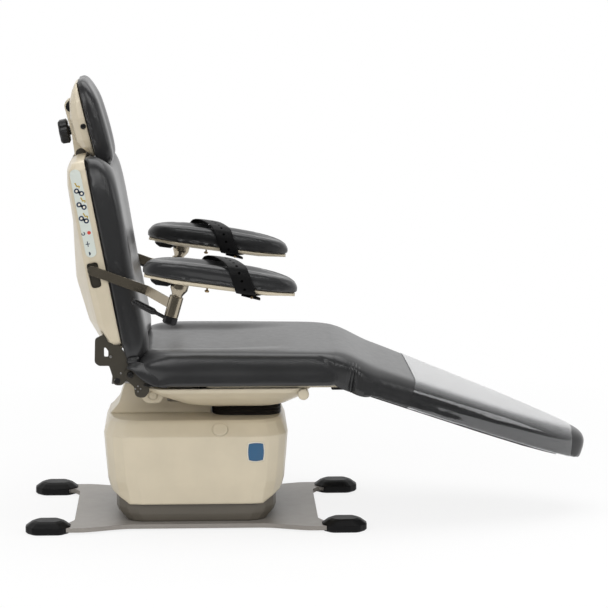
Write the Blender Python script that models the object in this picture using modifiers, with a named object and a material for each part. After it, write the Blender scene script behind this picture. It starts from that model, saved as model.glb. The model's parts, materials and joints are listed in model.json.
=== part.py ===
"""Powered oral surgery chair: lift column, tilting seat, reclining back, leg rest, headrest and armrests."""
import math

import bmesh
import bpy
from mathutils import Matrix, Vector

# Fits, in metres throughout
GAP = 0.0003
SLIDE_GAP = 0.0004
PIN_GAP = 0.0003

# Floor plate and feet
PLATE_BOTTOM = 0.005
PLATE_THICKNESS = 0.0125
PLATE_TOP = PLATE_BOTTOM + PLATE_THICKNESS
PLATE_HALF_LENGTH = 0.342
PLATE_WAIST = 0.235
ARM_TIP = 0.460
ARM_OUTER = 0.272
ARM_INNER = 0.212
ARM_ROOT = 0.018
PAD_LENGTH = 0.124
PAD_WIDTH = 0.088
PAD_HEIGHT = 0.035
PAD_RIM = 0.019
PAD_CROWN = 0.58
PAD_OVERHANG = 0.0145

# Skirt, shroud and column
SKIRT_HALF_LENGTH = 0.224
SKIRT_HALF_WIDTH = 0.206
SKIRT_CORNER = 0.060
SKIRT_TUCK = 0.027
SKIRT_TUCK_HEIGHT = 0.038
SKIRT_TOP = 0.264
SKIRT_WALL = 0.003
SHROUD_BOTTOM = 0.062
SHROUD_TOP = 0.268
COLUMN_WIDTH = 0.160
COLUMN_WALL = 0.006
COLUMN_CORNER = 0.014
COLUMN_STEP = 0.012

# Carriage, cover and tilt drive
COVER_TOP = 0.300
COVER_WALL = 0.004
COVER_BOTTOM = 0.070
COVER_HALF_LENGTH = 0.258
COVER_HALF_WIDTH = 0.224
COVER_CORNER = 0.085
COVER_CREASE = 0.262
COVER_WAIST_CREASE = 0.131
COVER_BAND_TOP = 0.294
COVER_BAND_INSET = 0.037
DECK_THICKNESS = 0.008
DECK_HALF = 0.110
CAP_RADIUS = 0.023
CAP_THICKNESS = 0.004
CAP_X = 0.067
COWL_HALF_WIDTH = 0.067
COWL_TOP = 0.3955
COWL_FRONT = 0.043
COWL_COLLAR = 0.3335
PEDESTAL_HALF_WIDTH = 0.045
TILT_X = -0.120
TILT_Z = 0.370
TILT_SHAFT_RADIUS = 0.012
PUSH_X = 0.025
PUSH_RADIUS = 0.008
PUSH_HEAD_RADIUS = 0.014
TILT_ACTUATOR_RADIUS = 0.020

# Seat
SEAT_HALF_WIDTH = 0.285
SEAT_BOTTOM = 0.412
SEAT_TOP = 0.515
SEAT_DISH = 0.014
CUSHION_SWELL = 1.040
CUSHION_SINK = 0.0006
SEAT_REAR = -0.150
SEAT_FRONT = 0.426
BOARD_THICKNESS = 0.007
BOARD_TOP = SEAT_BOTTOM - GAP
BOARD_BOTTOM = BOARD_TOP - BOARD_THICKNESS
PAN_WALL = 0.003
PAN_DEPTH = 0.066
PAN_REAR = -0.136
PAN_FRONT = 0.325
BOSS_X = 0.298
BOSS_DROP = 0.0185
BOSS_RADIUS = 0.0155
STUB_X = -0.140
STUB_Z = 0.3905
STUB_RADIUS = 0.007

# Back hinge, lever and drive
PIVOT_X = -0.180
PIVOT_Z = 0.4452
PIVOT_RADIUS = 0.006
HINGE_THICKNESS = 0.006
BACK_SHELL_HALF = 0.255
BACK_PLATE_INSET = 0.0165
BACK_PLATE_Y = BACK_SHELL_HALF - BACK_PLATE_INSET
SEAT_PLATE_Y = BACK_PLATE_Y + HINGE_THICKNESS + GAP
PAN_SIDE_REACH = 0.0052
PAN_HALF_WIDTH = SEAT_PLATE_Y + PAN_SIDE_REACH
LEVER_X = -0.0358
LEVER_Z = -0.0191
LEVER_END_RADIUS = 0.0125
LEVER_PIN_RADIUS = 0.006
LEVER_BOLT_RADIUS = 0.0085
DRIVE_INSET = 0.064
DRIVE_Y = PAN_HALF_WIDTH - DRIVE_INSET
RAIL_OUTER = DRIVE_Y - 0.020
RAIL_INNER = RAIL_OUTER - 0.016
DRIVE_DROP = 0.0322
DRIVE_SLOPE = math.radians(6.6)
DRIVE_ROD_RADIUS = 0.006
DRIVE_TUBE_RADIUS = 0.015
FORK_THICKNESS = 2 * DRIVE_ROD_RADIUS + 0.002
FORK_GAP = 0.0025
FORK_LAG = 0.0023

# Back rest, in its own frame: along is up the back, out is towards the sitter
BACK_LEAN = math.radians(10.7)
BACK_X = -0.2016
BACK_Z = 0.516
BACK_LENGTH = 0.532
BACK_SHELL_DEPTH = 0.101
BACK_SHELL_WALL = 0.0035
BACK_CUSHION_HALF = BACK_SHELL_HALF + 0.007
BACK_CUSHION_DEPTH = 0.086
BACK_BOARD_THICKNESS = 0.010
PANEL_WIDTH = 0.030
PANEL_THICKNESS = 0.0012
PANEL_OUT = -0.030
PANEL_TOP_MARGIN = 0.0195
PANEL_SLOT_MARGIN = 0.0155

# Leg rest, in its own frame: along runs to the feet, out is upwards
KNEE_X = 0.432
KNEE_Z = 0.404
KNEE_PIN_RADIUS = 0.006
KNEE_LOBE = 0.012
LEG_DROOP = math.radians(20.8)
LEG_LENGTH = 0.7146
LEG_TOE = 0.015077
LEG_TAPER = 0.56
LEG_ROUND_FROM = 0.60
LEG_HALF_WIDTH = 0.290
LEG_THICKNESS = 0.0795
LEG_LOW = -0.002
LEG_BOARD_THICKNESS = 0.006
LEG_BOARD_LIFT = 0.0005
EAR_INNER = 0.200
EAR_THICKNESS = 0.012
FOOT_COVER_START = 0.112
FOOT_COVER_GAP = 0.0006
FOOT_COVER_WALL = 0.0012

# Head rest
HEAD_LEAN = math.radians(13.5)
HEAD_DROP = 0.0212
HEAD_OUT = 0.0239
NECK_HALF = 0.195
HEAD_LENGTH = 0.222
HEAD_HALF_WIDTH = 0.130
HEAD_DEPTH = 0.056
HEAD_SHELL_DEPTH = 0.045
HEAD_SHELL_HALF = 0.118
LOWER_JOINT_ALONG = BACK_LENGTH
LOWER_JOINT_OUT = -0.0172
LINK_LENGTH = 0.1338
LINK_LEAN = math.radians(10.6)
LINK_HALF_WIDTH = 0.028
LINK_LOWER_RADIUS = 0.0185
LINK_UPPER_RADIUS = 0.021
LINK_WAIST = 0.0145
TONGUE_HALF = 0.012
TONGUE_RADIUS = 0.015
JOINT_PIN_RADIUS = 0.006
JOINT_DISC_RADIUS = 0.0145
JOINT_DISC_THICKNESS = 0.004
HEAD_BAR_HALF = 0.016
HEAD_BAR_THICKNESS = 0.008
HEAD_BAR_BOTTOM = 0.250
KNOB_RADIUS = 0.0345
KNOB_LOBE = 0.0032
KNOB_LOBES = 6
KNOB_THICKNESS = 0.0275
KNOB_STEM_RADIUS = 0.013
KNOB_STEM = 0.005
KNOB_PLACE = 0.50
KNOB_SEAT = 0.0014

# Armrests
ARM_PIVOT_ALONG = 0.2327
ARM_PIVOT_OUT = -0.0358
SLOT_LOW = ARM_PIVOT_ALONG - 0.0507
SLOT_HIGH = ARM_PIVOT_ALONG + 0.0193
PANEL_LOW = SLOT_HIGH + PANEL_SLOT_MARGIN
PANEL_HIGH = BACK_LENGTH - PANEL_TOP_MARGIN
ARM_BAR_Y = BACK_SHELL_HALF + 0.014
ARM_BAR_WIDTH = 0.026
ARM_BAR_THICKNESS = 0.006
ARM_BAR_SLOPE = math.radians(20.3)
ARM_BAR_BEND = 0.158
ARM_PIVOT_RADIUS = 0.009
TUBE_Y = ARM_BAR_Y + 0.106
TUBE_X = -0.0568
TUBE_Z = 0.6555
TUBE_LEAN = math.radians(16.0)
TUBE_RADIUS = 0.0185
TUBE_LENGTH = 0.056
POST_RADIUS = 0.0112
POST_NECK = 0.0145
POST_TOP_RADIUS = 0.0235
COLLAR_RADIUS = 0.0195
COLLAR_HEIGHT = 0.022
HANDLE_RADIUS = 0.0092
HANDLE_LENGTH = 0.070
HANDLE_NECK = 0.026
HANDLE_RISE = math.radians(12.0)
REST_SLOPE = math.radians(7.6)
REST_X = 0.065
REST_Z = 0.7075
REST_LENGTH = 0.415
REST_HALF_WIDTH = 0.066
REST_PAN_THICKNESS = 0.011
REST_THICKNESS = 0.052
REST_DISH = 0.010
STRAP_WIDTH = 0.047
STRAP_THICKNESS = 0.0025
STRAP_RISE = 0.016
STRAP_X = 0.085
STRAP_SKEW = -0.66

# The frame's origin is the middle of the footprint, on the floor
REAR_END = -(ARM_TIP + PAD_OVERHANG)
FRONT_END = KNEE_X + LEG_LENGTH * math.cos(LEG_DROOP) + LEG_TOE
ORIGIN_X = (REAR_END + FRONT_END) / 2
SIDES = {"right": -1, "left": 1}


def clear_scene():
    for thing in list(bpy.data.objects):
        bpy.data.objects.remove(thing)


def collection(name):
    group = bpy.data.collections.new(name)
    bpy.context.scene.collection.children.link(group)
    return group


clear_scene()
chair = collection("oral_surgery_chair")
cutters = collection("cutters")


def finish(name, colour, roughness, metallic=0.0):
    made = bpy.data.materials.new(name)
    made.use_nodes = True
    shader = made.node_tree.nodes["Principled BSDF"]
    shader.inputs["Base Color"].default_value = (*colour, 1.0)
    shader.inputs["Roughness"].default_value = roughness
    shader.inputs["Metallic"].default_value = metallic
    return made


cream = finish("cream_moulding", (0.73, 0.66, 0.50), 0.35)
taupe = finish("taupe_paint", (0.115, 0.098, 0.072), 0.45)
bronze = finish("dark_bronze_plate", (0.055, 0.045, 0.030), 0.4, 0.6)
vinyl = finish("charcoal_vinyl", (0.042, 0.042, 0.046), 0.45)
clear_vinyl = finish("clear_vinyl", (0.30, 0.30, 0.31), 0.12)
steel = finish("zinc_steel", (0.42, 0.42, 0.43), 0.35, 0.9)
nickel = finish("satin_nickel", (0.55, 0.50, 0.42), 0.28, 1.0)
black = finish("black_plastic", (0.012, 0.012, 0.012), 0.4)
rubber = finish("black_rubber", (0.018, 0.018, 0.018), 0.7)
membrane = finish("panel_membrane", (0.55, 0.62, 0.56), 0.4)

# Pivots: one empty on each joint's axis
places = {}


def pivot(name, place, parent=None):
    empty = bpy.data.objects.new(name + "_axis", None)
    chair.objects.link(empty)
    places[name] = Vector(place)
    if parent:
        empty.parent = bpy.data.objects[parent + "_axis"]
        empty.location = places[name] - places[parent]
    else:
        empty.location = places[name] - Vector((ORIGIN_X, 0, 0))


def carry(thing, body):
    thing.parent = bpy.data.objects[body + "_axis"]
    thing.matrix_parent_inverse = Matrix.Translation(-places[body])
    return thing


def along_out(lean, start_x, start_z):
    """A frame whose first value runs up the piece and whose last points out of its front."""
    up = Vector((-math.sin(lean), 0, math.cos(lean)))
    out = Vector((math.cos(lean), 0, math.sin(lean)))
    start = Vector((start_x, 0, start_z))

    def place(along, y, outwards):
        return start + up * along + out * outwards + Vector((0, y, 0))

    return place


back_place = along_out(BACK_LEAN, BACK_X, BACK_Z)
head_start = back_place(BACK_LENGTH - HEAD_DROP, 0, HEAD_OUT)
head_place = along_out(HEAD_LEAN, head_start.x, head_start.z)
lower_joint = back_place(LOWER_JOINT_ALONG, 0, LOWER_JOINT_OUT)
link_up = Vector((-math.sin(LINK_LEAN), 0, math.cos(LINK_LEAN)))
link_front = Vector((math.cos(LINK_LEAN), 0, math.sin(LINK_LEAN)))
upper_joint = lower_joint + link_up * LINK_LENGTH
knob_start = lower_joint + link_up * (KNOB_PLACE * LINK_LENGTH) - link_front * (LINK_WAIST + KNOB_SEAT)
arm_pivot = back_place(ARM_PIVOT_ALONG, 0, ARM_PIVOT_OUT)


def leg_place(along, y, out):
    run = Vector((math.cos(LEG_DROOP), 0, -math.sin(LEG_DROOP)))
    rise = Vector((math.sin(LEG_DROOP), 0, math.cos(LEG_DROOP)))
    return Vector((KNEE_X, y, KNEE_Z)) + run * along + rise * out


def rest_place(along, y, out):
    run = Vector((math.cos(REST_SLOPE), 0, -math.sin(REST_SLOPE)))
    rise = Vector((math.sin(REST_SLOPE), 0, math.cos(REST_SLOPE)))
    return Vector((REST_X, y, REST_Z)) + run * along + rise * out


def seat_place(along, y, out):
    return Vector((along, y, SEAT_BOTTOM + out))


# Shared shaping helpers
def add(name, mesh, look, body, smooth=40):
    thing = bpy.data.objects.new(name, mesh)
    chair.objects.link(thing)
    mesh.materials.clear()
    mesh.materials.append(look)
    mesh.shade_smooth()
    mesh.set_sharp_from_angle(angle=math.radians(smooth))
    return carry(thing, body)


def rounded(corners, steps=3):
    """A closed outline whose corners (a, b, radius) are arcs."""
    points = []
    count = len(corners)
    for n, (a, b, radius) in enumerate(corners):
        here = Vector((a, b))
        before = Vector(corners[n - 1][:2]) - here
        after = Vector(corners[(n + 1) % count][:2]) - here
        half = before.angle(after) / 2
        if radius <= 0 or abs(half - math.pi / 2) < 0.01:
            points.append(here)
            continue
        reach = radius / math.tan(half)
        centre = here + (before.normalized() + after.normalized()).normalized() * radius / math.sin(half)
        first = here + before.normalized() * reach - centre
        sweep = first.angle_signed(here + after.normalized() * reach - centre)
        for step in range(steps + 1):
            turn = Matrix.Rotation(-sweep * step / steps, 2)
            points.append(centre + turn @ first)
    return points


def circle(a, b, radius, count=16):
    turn = [2 * math.pi * n / count for n in range(count)]
    return [Vector((a + radius * math.cos(t), b + radius * math.sin(t))) for t in turn]


def side_frame(y):
    return Matrix(((1, 0, 0, 0), (0, 0, -1, y), (0, 1, 0, 0), (0, 0, 0, 1)))


def closed_mesh(shape, mesh):
    """Welds a shape, turns its faces outwards and hands it to the mesh."""
    bmesh.ops.remove_doubles(shape, verts=shape.verts, dist=0.00001)
    bmesh.ops.recalc_face_normals(shape, faces=shape.faces)
    if shape.calc_volume(signed=True) < 0:
        bmesh.ops.reverse_faces(shape, faces=shape.faces)
    shape.to_mesh(mesh)
    shape.free()
    return mesh


def plate_mesh(loops, thickness, frame):
    """A flat outline with holes, drawn as a 2D curve, thickened and welded into a closed mesh."""
    curve = bpy.data.curves.new("outline", "CURVE")
    curve.dimensions = "2D"
    curve.fill_mode = "BOTH"
    curve.extrude = thickness / 2
    for loop in loops:
        spline = curve.splines.new("POLY")
        spline.points.add(len(loop) - 1)
        for point, (a, b) in zip(spline.points, loop):
            point.co = (a, b, 0, 1)
        spline.use_cyclic_u = True
    drawn = bpy.data.objects.new("outline", curve)
    chair.objects.link(drawn)
    graph = bpy.context.evaluated_depsgraph_get()
    mesh = bpy.data.meshes.new_from_object(drawn.evaluated_get(graph))
    bpy.data.objects.remove(drawn)
    shape = bmesh.new()
    shape.from_mesh(mesh)
    bmesh.ops.transform(shape, matrix=frame, verts=shape.verts)
    return closed_mesh(shape, mesh)


def turned_mesh(profile, frame, count=14):
    """A profile of (radius, height) pairs, from the axis at the top to the axis at the bottom, spun round."""
    shape = bmesh.new()
    line = [shape.verts.new((radius, 0, height)) for radius, height in profile]
    edges = [shape.edges.new(pair) for pair in zip(line, line[1:])]
    bmesh.ops.spin(shape, geom=line + edges, cent=(0, 0, 0), axis=(0, 0, 1), angle=2 * math.pi,
                   steps=count, use_merge=True)
    bmesh.ops.transform(shape, matrix=frame, verts=shape.verts)
    return closed_mesh(shape, bpy.data.meshes.new("turned"))


def rod_mesh(radius, start, end, count=16):
    run = Vector(end) - Vector(start)
    frame = Matrix.Translation((Vector(start) + Vector(end)) / 2) @ run.to_track_quat("Z", "Y").to_matrix().to_4x4()
    shape = bmesh.new()
    bmesh.ops.create_cone(shape, cap_ends=True, segments=count, radius1=radius, radius2=radius,
                          depth=run.length, matrix=frame)
    mesh = bpy.data.meshes.new("rod")
    shape.to_mesh(mesh)
    shape.free()
    return mesh


def box_mesh(low, high):
    low, high = Vector(low), Vector(high)
    size = Matrix.Diagonal((*(high - low), 1))
    shape = bmesh.new()
    bmesh.ops.create_cube(shape, size=1, matrix=Matrix.Translation((low + high) / 2) @ size)
    mesh = bpy.data.meshes.new("box")
    shape.to_mesh(mesh)
    shape.free()
    return mesh


def loft_mesh(rings, closed_ends=(True, True)):
    """Skins rings of equal count, first to last, and caps the ends that are closed."""
    shape = bmesh.new()
    rows = [[shape.verts.new(point) for point in ring] for ring in rings]
    count = len(rows[0])
    for low, high in zip(rows, rows[1:]):
        for n in range(count):
            shape.faces.new((low[n], low[(n + 1) % count], high[(n + 1) % count], high[n]))
    if closed_ends[0]:
        shape.faces.new(rows[0])
    if closed_ends[1]:
        shape.faces.new(rows[-1])
    return closed_mesh(shape, bpy.data.meshes.new("loft"))


def cutter(mesh):
    thing = bpy.data.objects.new("cutter", mesh)
    cutters.objects.link(thing)
    thing.location.x = -ORIGIN_X
    thing.hide_render = True
    thing.display_type = "WIRE"
    return thing


def combine(thing, mesh, operation):
    change = thing.modifiers.new(operation.lower(), "BOOLEAN")
    change.operation = operation
    change.object = cutter(mesh)
    return thing


def cut(thing, mesh):
    return combine(thing, mesh, "DIFFERENCE")


def join(thing, mesh):
    return combine(thing, mesh, "UNION")


def bevel(thing, width, segments=2, angle=40):
    change = thing.modifiers.new("edges", "BEVEL")
    change.width = width
    change.segments = segments
    change.limit_method = "ANGLE"
    change.angle_limit = math.radians(angle)
    return thing


def thicken(thing, wall, offset=-1):
    change = thing.modifiers.new("wall", "SOLIDIFY")
    change.thickness = wall
    change.offset = offset
    change.use_even_offset = True
    return thing


def soften(thing, levels=1):
    change = thing.modifiers.new("soft", "SUBSURF")
    change.levels = levels
    change.render_levels = levels
    return thing


def corner_ring(half_x, half_y, z, corner, centre_x=0.0, steps=3):
    points = rounded([(centre_x + half_x, half_y, corner), (centre_x - half_x, half_y, corner),
                      (centre_x - half_x, -half_y, corner), (centre_x + half_x, -half_y, corner)], steps)
    return [(a, b, z) for a, b in points]


def pad_ring(place, along, half, low, high, dish=0.0, square=4.0, count=12, lean=0.0, dip=0.0, tuck=0.03):
    """One section of a cushion: a squared-off oval, dished on top and drawn in along its sides."""
    ring = []
    middle, rise = (low + high) / 2, (high - low) / 2
    for n in range(count):
        turn = 2 * math.pi * (n + 0.5) / count
        side, up = math.cos(turn), math.sin(turn)
        y = CUSHION_SWELL * half * math.copysign(abs(side) ** (2 / square), side)
        out = math.copysign(abs(up) ** (2 / square), up)
        y *= 1 - tuck * (1 - out * out)
        share = max(0.0, 1 - (y / (0.72 * half)) ** 2)
        height = middle + rise * out - (dish * share if out > 0 else 0)
        here = along + lean * height - dip * max(0.0, 1 - (y / NECK_HALF) ** 4)
        ring.append(place(here, y, height))
    return ring


def cushion(name, rings, look, body):
    """A soft form: its end caps are stepped inwards so that they round over."""
    first, last = [sum((Vector(p) for p in ring), Vector()) / len(ring) for ring in (rings[0], rings[-1])]
    start = [first.lerp(Vector(p), 0.55) for p in rings[0]]
    end = [last.lerp(Vector(p), 0.55) for p in rings[-1]]
    return soften(add(name, loft_mesh([start, *rings, end]), look, body, 180))


# Bodies
pivot("base", (0, 0, 0))
pivot("mid_stage", (0, 0, 0), "base")
pivot("carriage", (0, 0, COVER_TOP), "base")
pivot("tilt_rod", (PUSH_X, 0, COVER_TOP), "carriage")
pivot("seat", (TILT_X, 0, TILT_Z), "carriage")
pivot("back", (PIVOT_X, 0, PIVOT_Z), "seat")
pivot("drive_rod", (PIVOT_X, -DRIVE_Y, PIVOT_Z - DRIVE_DROP), "seat")
pivot("leg", (KNEE_X, 0, KNEE_Z), "seat")
pivot("head_slide", back_place(BACK_LENGTH, 0, LOWER_JOINT_OUT), "back")
pivot("head_link", lower_joint, "head_slide")
pivot("headrest", upper_joint, "head_link")
pivot("knob", knob_start, "head_link")
for side in SIDES:
    sign = SIDES[side]
    pivot("arm_" + side, arm_pivot + Vector((0, sign * ARM_BAR_Y, 0)), "back")
    pivot("rest_" + side, (TUBE_X, sign * TUBE_Y, TUBE_Z), "arm_" + side)
    pivot("clamp_" + side, (TUBE_X, sign * TUBE_Y, TUBE_Z), "arm_" + side)


# Floor unit
def base_plate():
    quarter = [(0.20, PLATE_WAIST, 0.15), (0.31, ARM_OUTER, 0.10), (ARM_TIP, ARM_OUTER, 0.015),
               (ARM_TIP, ARM_INNER, 0.015), (PLATE_HALF_LENGTH + ARM_ROOT, ARM_INNER, 0.012),
               (PLATE_HALF_LENGTH, ARM_INNER - 0.035, 0.030)]
    outline = list(quarter)
    outline += [(a, -b, r) for a, b, r in reversed(quarter)]
    outline += [(-a, -b, r) for a, b, r in quarter]
    outline += [(-a, b, r) for a, b, r in reversed(quarter)]
    frame = Matrix.Translation((0, 0, PLATE_BOTTOM + PLATE_THICKNESS / 2))
    add("base_plate", plate_mesh([rounded(outline)], PLATE_THICKNESS, frame), taupe, "base")


def foot_pads():
    middle_y = (ARM_OUTER + ARM_INNER) / 2
    middle_x = ARM_TIP + PAD_OVERHANG - PAD_LENGTH / 2
    half, wide = PAD_LENGTH / 2, PAD_WIDTH / 2
    boat = rounded([(half, 0.4 * wide, 0.012), (0.62 * half, wide, 0.014), (-0.62 * half, wide, 0.014),
                    (-half, 0.4 * wide, 0.012), (-half, -0.4 * wide, 0.012), (-0.62 * half, -wide, 0.014),
                    (0.62 * half, -wide, 0.014), (half, -0.4 * wide, 0.012)], 1)
    levels = [(0.0, 0.93), (0.004, 1.0), (PAD_RIM, 1.0), (PAD_HEIGHT - 0.004, PAD_CROWN + 0.16),
              (PAD_HEIGHT, PAD_CROWN)]
    corners = [(1, -1), (1, 1), (-1, 1), (-1, -1)]
    for number, (sx, sy) in enumerate(corners, 1):
        rings = []
        for z, share in levels:
            rings.append([(sx * (middle_x + share * p.x), sy * (middle_y + share * p.y), z) for p in boat])
        pad = add(f"foot_pad_{number}", loft_mesh(rings), rubber, "base")
        reach = sorted((sx * (PLATE_HALF_LENGTH - 0.1), sx * (ARM_TIP + GAP)))
        across = sorted((sy * (ARM_INNER - GAP), sy * (ARM_OUTER + GAP)))
        low = (reach[0], across[0], PLATE_BOTTOM - GAP)
        cut(pad, box_mesh(low, (reach[1], across[1], PLATE_TOP + GAP)))
        root = sorted((sx * (PLATE_HALF_LENGTH - 0.1), sx * (PLATE_HALF_LENGTH + ARM_ROOT + 0.016)))
        side = sorted((sy * (ARM_INNER - 0.1), sy * (ARM_INNER + GAP)))
        cut(pad, box_mesh((root[0], side[0], PLATE_BOTTOM - GAP), (root[1], side[1], PLATE_TOP + GAP)))


def tube_rings(half_x, half_y, corner, heights):
    return [corner_ring(half_x, half_y, z, corner) for z in heights]


def skirts():
    bottom = PLATE_TOP + GAP
    rings = [corner_ring(SKIRT_HALF_LENGTH - SKIRT_TUCK, SKIRT_HALF_WIDTH - 0.004, bottom, SKIRT_CORNER - 0.01),
             corner_ring(SKIRT_HALF_LENGTH - 0.006, SKIRT_HALF_WIDTH, bottom + 0.6 * SKIRT_TUCK_HEIGHT, SKIRT_CORNER),
             corner_ring(SKIRT_HALF_LENGTH, SKIRT_HALF_WIDTH, bottom + SKIRT_TUCK_HEIGHT, SKIRT_CORNER),
             corner_ring(SKIRT_HALF_LENGTH, SKIRT_HALF_WIDTH, SKIRT_TOP, SKIRT_CORNER)]
    thicken(add("lower_skirt", loft_mesh(rings, (False, False)), taupe, "base"), SKIRT_WALL)
    inset = SKIRT_WALL + SLIDE_GAP
    rings = tube_rings(SKIRT_HALF_LENGTH - inset, SKIRT_HALF_WIDTH - inset, SKIRT_CORNER - inset,
                       (SHROUD_BOTTOM, SHROUD_TOP))
    thicken(add("middle_shroud", loft_mesh(rings, (False, False)), taupe, "mid_stage"), SKIRT_WALL)


def deck_top():
    return COVER_TOP - COVER_WALL - GAP


def columns():
    stages = [("column_outer", "base"), ("column_middle", "mid_stage"), ("column_inner", "carriage")]
    ceiling = deck_top() - DECK_THICKNESS - GAP
    for number, (name, body) in enumerate(stages):
        half = COLUMN_WIDTH / 2 - number * (COLUMN_WALL + SLIDE_GAP)
        corner = COLUMN_CORNER - number * 0.003
        low = PLATE_TOP + GAP + number * COLUMN_STEP
        rings = tube_rings(half, half, corner, (low, ceiling - (2 - number) * 0.001))
        thicken(add(name, loft_mesh(rings, (False, False)), steel, body), COLUMN_WALL)


def power_unit():
    floor = PLATE_TOP + GAP
    thing = add("power_unit", box_mesh((0.100, -0.095, floor), (0.180, 0.095, floor + 0.090)), black, "base")
    bevel(thing, 0.004)


# Lift carriage
def cover_profile():
    waist = COVER_WAIST_CREASE
    return [(COVER_BOTTOM, 0.021, 0.0045), (0.105, 0.0175, 0.0030), (waist, 0.0105, 0.0015),
            (0.200, 0.0045, 0.0005), (COVER_CREASE, 0.0, 0.0), (COVER_BAND_TOP, 0.0115, COVER_BAND_INSET),
            (COVER_TOP, 0.0200, COVER_BAND_INSET + 0.010)]


def base_cover():
    rings = []
    for z, inset_x, inset_y in cover_profile():
        rings.append(corner_ring(COVER_HALF_LENGTH - inset_x, COVER_HALF_WIDTH - inset_y, z, COVER_CORNER, steps=4))
    hood = thicken(add("base_cover", loft_mesh(rings, (False, True)), cream, "carriage", 25), COVER_WALL)
    corner_x, end_x, end_z = 0.186, 0.238, 0.104
    for sign in (1, -1):
        wedge = [(sign * corner_x, COVER_BOTTOM), (sign * end_x, end_z), (sign * 0.30, end_z),
                 (sign * 0.30, 0.02), (sign * corner_x, 0.02)]
        cut(hood, plate_mesh([[Vector(p) for p in wedge]], 0.6, side_frame(0)))
    wide = PEDESTAL_HALF_WIDTH + 0.003
    cut(hood, box_mesh((TILT_X - 0.048, -wide, COVER_TOP - 0.02), (TILT_X + 0.048, wide, COVER_TOP + 0.02)))
    cut(hood, rod_mesh(PUSH_HEAD_RADIUS + 0.002, (PUSH_X, 0, COVER_TOP - 0.02), (PUSH_X, 0, COVER_TOP + 0.02)))


def access_cap():
    fall = Vector((0, -(COVER_BAND_TOP - COVER_CREASE), COVER_BAND_INSET)).normalized()
    middle = Vector((CAP_X, -(COVER_HALF_WIDTH - COVER_BAND_INSET / 2), (COVER_CREASE + COVER_BAND_TOP) / 2))
    frame = Matrix.Translation(middle + fall * GAP) @ fall.to_track_quat("Z", "Y").to_matrix().to_4x4()
    profile = [(0, CAP_THICKNESS), (CAP_RADIUS - 0.002, CAP_THICKNESS), (CAP_RADIUS, CAP_THICKNESS - 0.002),
               (CAP_RADIUS, 0), (0, 0)]
    add("access_cap", turned_mesh(profile, frame), cream, "carriage")


def carriage_deck():
    square = rounded([(DECK_HALF, DECK_HALF, 0.02), (-DECK_HALF - 0.055, DECK_HALF, 0.02),
                      (-DECK_HALF - 0.055, -DECK_HALF, 0.02), (DECK_HALF, -DECK_HALF, 0.02)])
    hole = circle(PUSH_X, 0, PUSH_RADIUS + PIN_GAP)
    frame = Matrix.Translation((0, 0, deck_top() - DECK_THICKNESS / 2))
    add("carriage_deck", plate_mesh([square, hole], DECK_THICKNESS, frame), steel, "carriage")


def tilt_pedestal():
    foot = deck_top() + GAP
    top = TILT_Z + 0.020
    outline = rounded([(TILT_X - 0.045, foot, 0), (TILT_X + 0.045, foot, 0), (TILT_X + 0.040, foot + 0.02, 0.01),
                       (TILT_X + 0.020, top, 0.016), (TILT_X - 0.020, top, 0.016),
                       (TILT_X - 0.040, foot + 0.02, 0.01)])
    bore = circle(TILT_X, TILT_Z, TILT_SHAFT_RADIUS + PIN_GAP)
    mesh = plate_mesh([outline, bore], 2 * PEDESTAL_HALF_WIDTH, side_frame(0))
    add("tilt_pedestal", mesh, steel, "carriage")


def rear_cowl():
    seat = COVER_TOP + GAP
    outline = rounded([(-0.243, seat, 0), (-0.2174, 0.330, 0.03), (-0.2028, 0.379, 0.03), (-0.192, COWL_TOP, 0.010),
                       (-0.092, COWL_TOP, 0.008), (-0.080, COWL_COLLAR, 0.008), (COWL_FRONT, COWL_COLLAR, 0.004),
                       (COWL_FRONT, seat, 0)])
    mesh = plate_mesh([outline], 2 * COWL_HALF_WIDTH, side_frame(0))
    cowl = bevel(add("rear_cowl", mesh, cream, "carriage"), 0.005, 2, 60)
    wide = PEDESTAL_HALF_WIDTH + 0.003
    cut(cowl, box_mesh((TILT_X - 0.048, -wide, seat - 0.02), (TILT_X + 0.048, wide, COWL_TOP - 0.003)))
    reach = COWL_HALF_WIDTH + 0.02
    cut(cowl, rod_mesh(TILT_SHAFT_RADIUS + 0.0015, (TILT_X, -reach, TILT_Z), (TILT_X, reach, TILT_Z)))
    cut(cowl, rod_mesh(PUSH_HEAD_RADIUS + 0.002, (PUSH_X, 0, seat - 0.02), (PUSH_X, 0, COWL_COLLAR + 0.02)))


def tilt_drive():
    top = deck_top() - DECK_THICKNESS - GAP
    bottom = PLATE_TOP + 3 * COLUMN_STEP + 0.02
    bore = PUSH_RADIUS + PIN_GAP
    flange = TILT_ACTUATOR_RADIUS + 0.008
    tube = [(0, bottom + 0.02), (bore, bottom + 0.02), (bore, top), (flange, top), (flange, top - 0.006),
            (TILT_ACTUATOR_RADIUS, top - 0.006), (TILT_ACTUATOR_RADIUS, bottom), (0, bottom)]
    frame = Matrix.Translation((PUSH_X, 0, 0))
    add("tilt_actuator", turned_mesh(tube, frame), black, "carriage")
    head = BOARD_BOTTOM - GAP
    rod = [(0, head), (PUSH_HEAD_RADIUS - 0.002, head), (PUSH_HEAD_RADIUS, head - 0.002),
           (PUSH_HEAD_RADIUS, head - 0.007), (PUSH_RADIUS, head - 0.009), (PUSH_RADIUS, bottom + 0.022),
           (0, bottom + 0.022)]
    add("tilt_push_rod", turned_mesh(rod, frame), steel, "tilt_rod")


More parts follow.
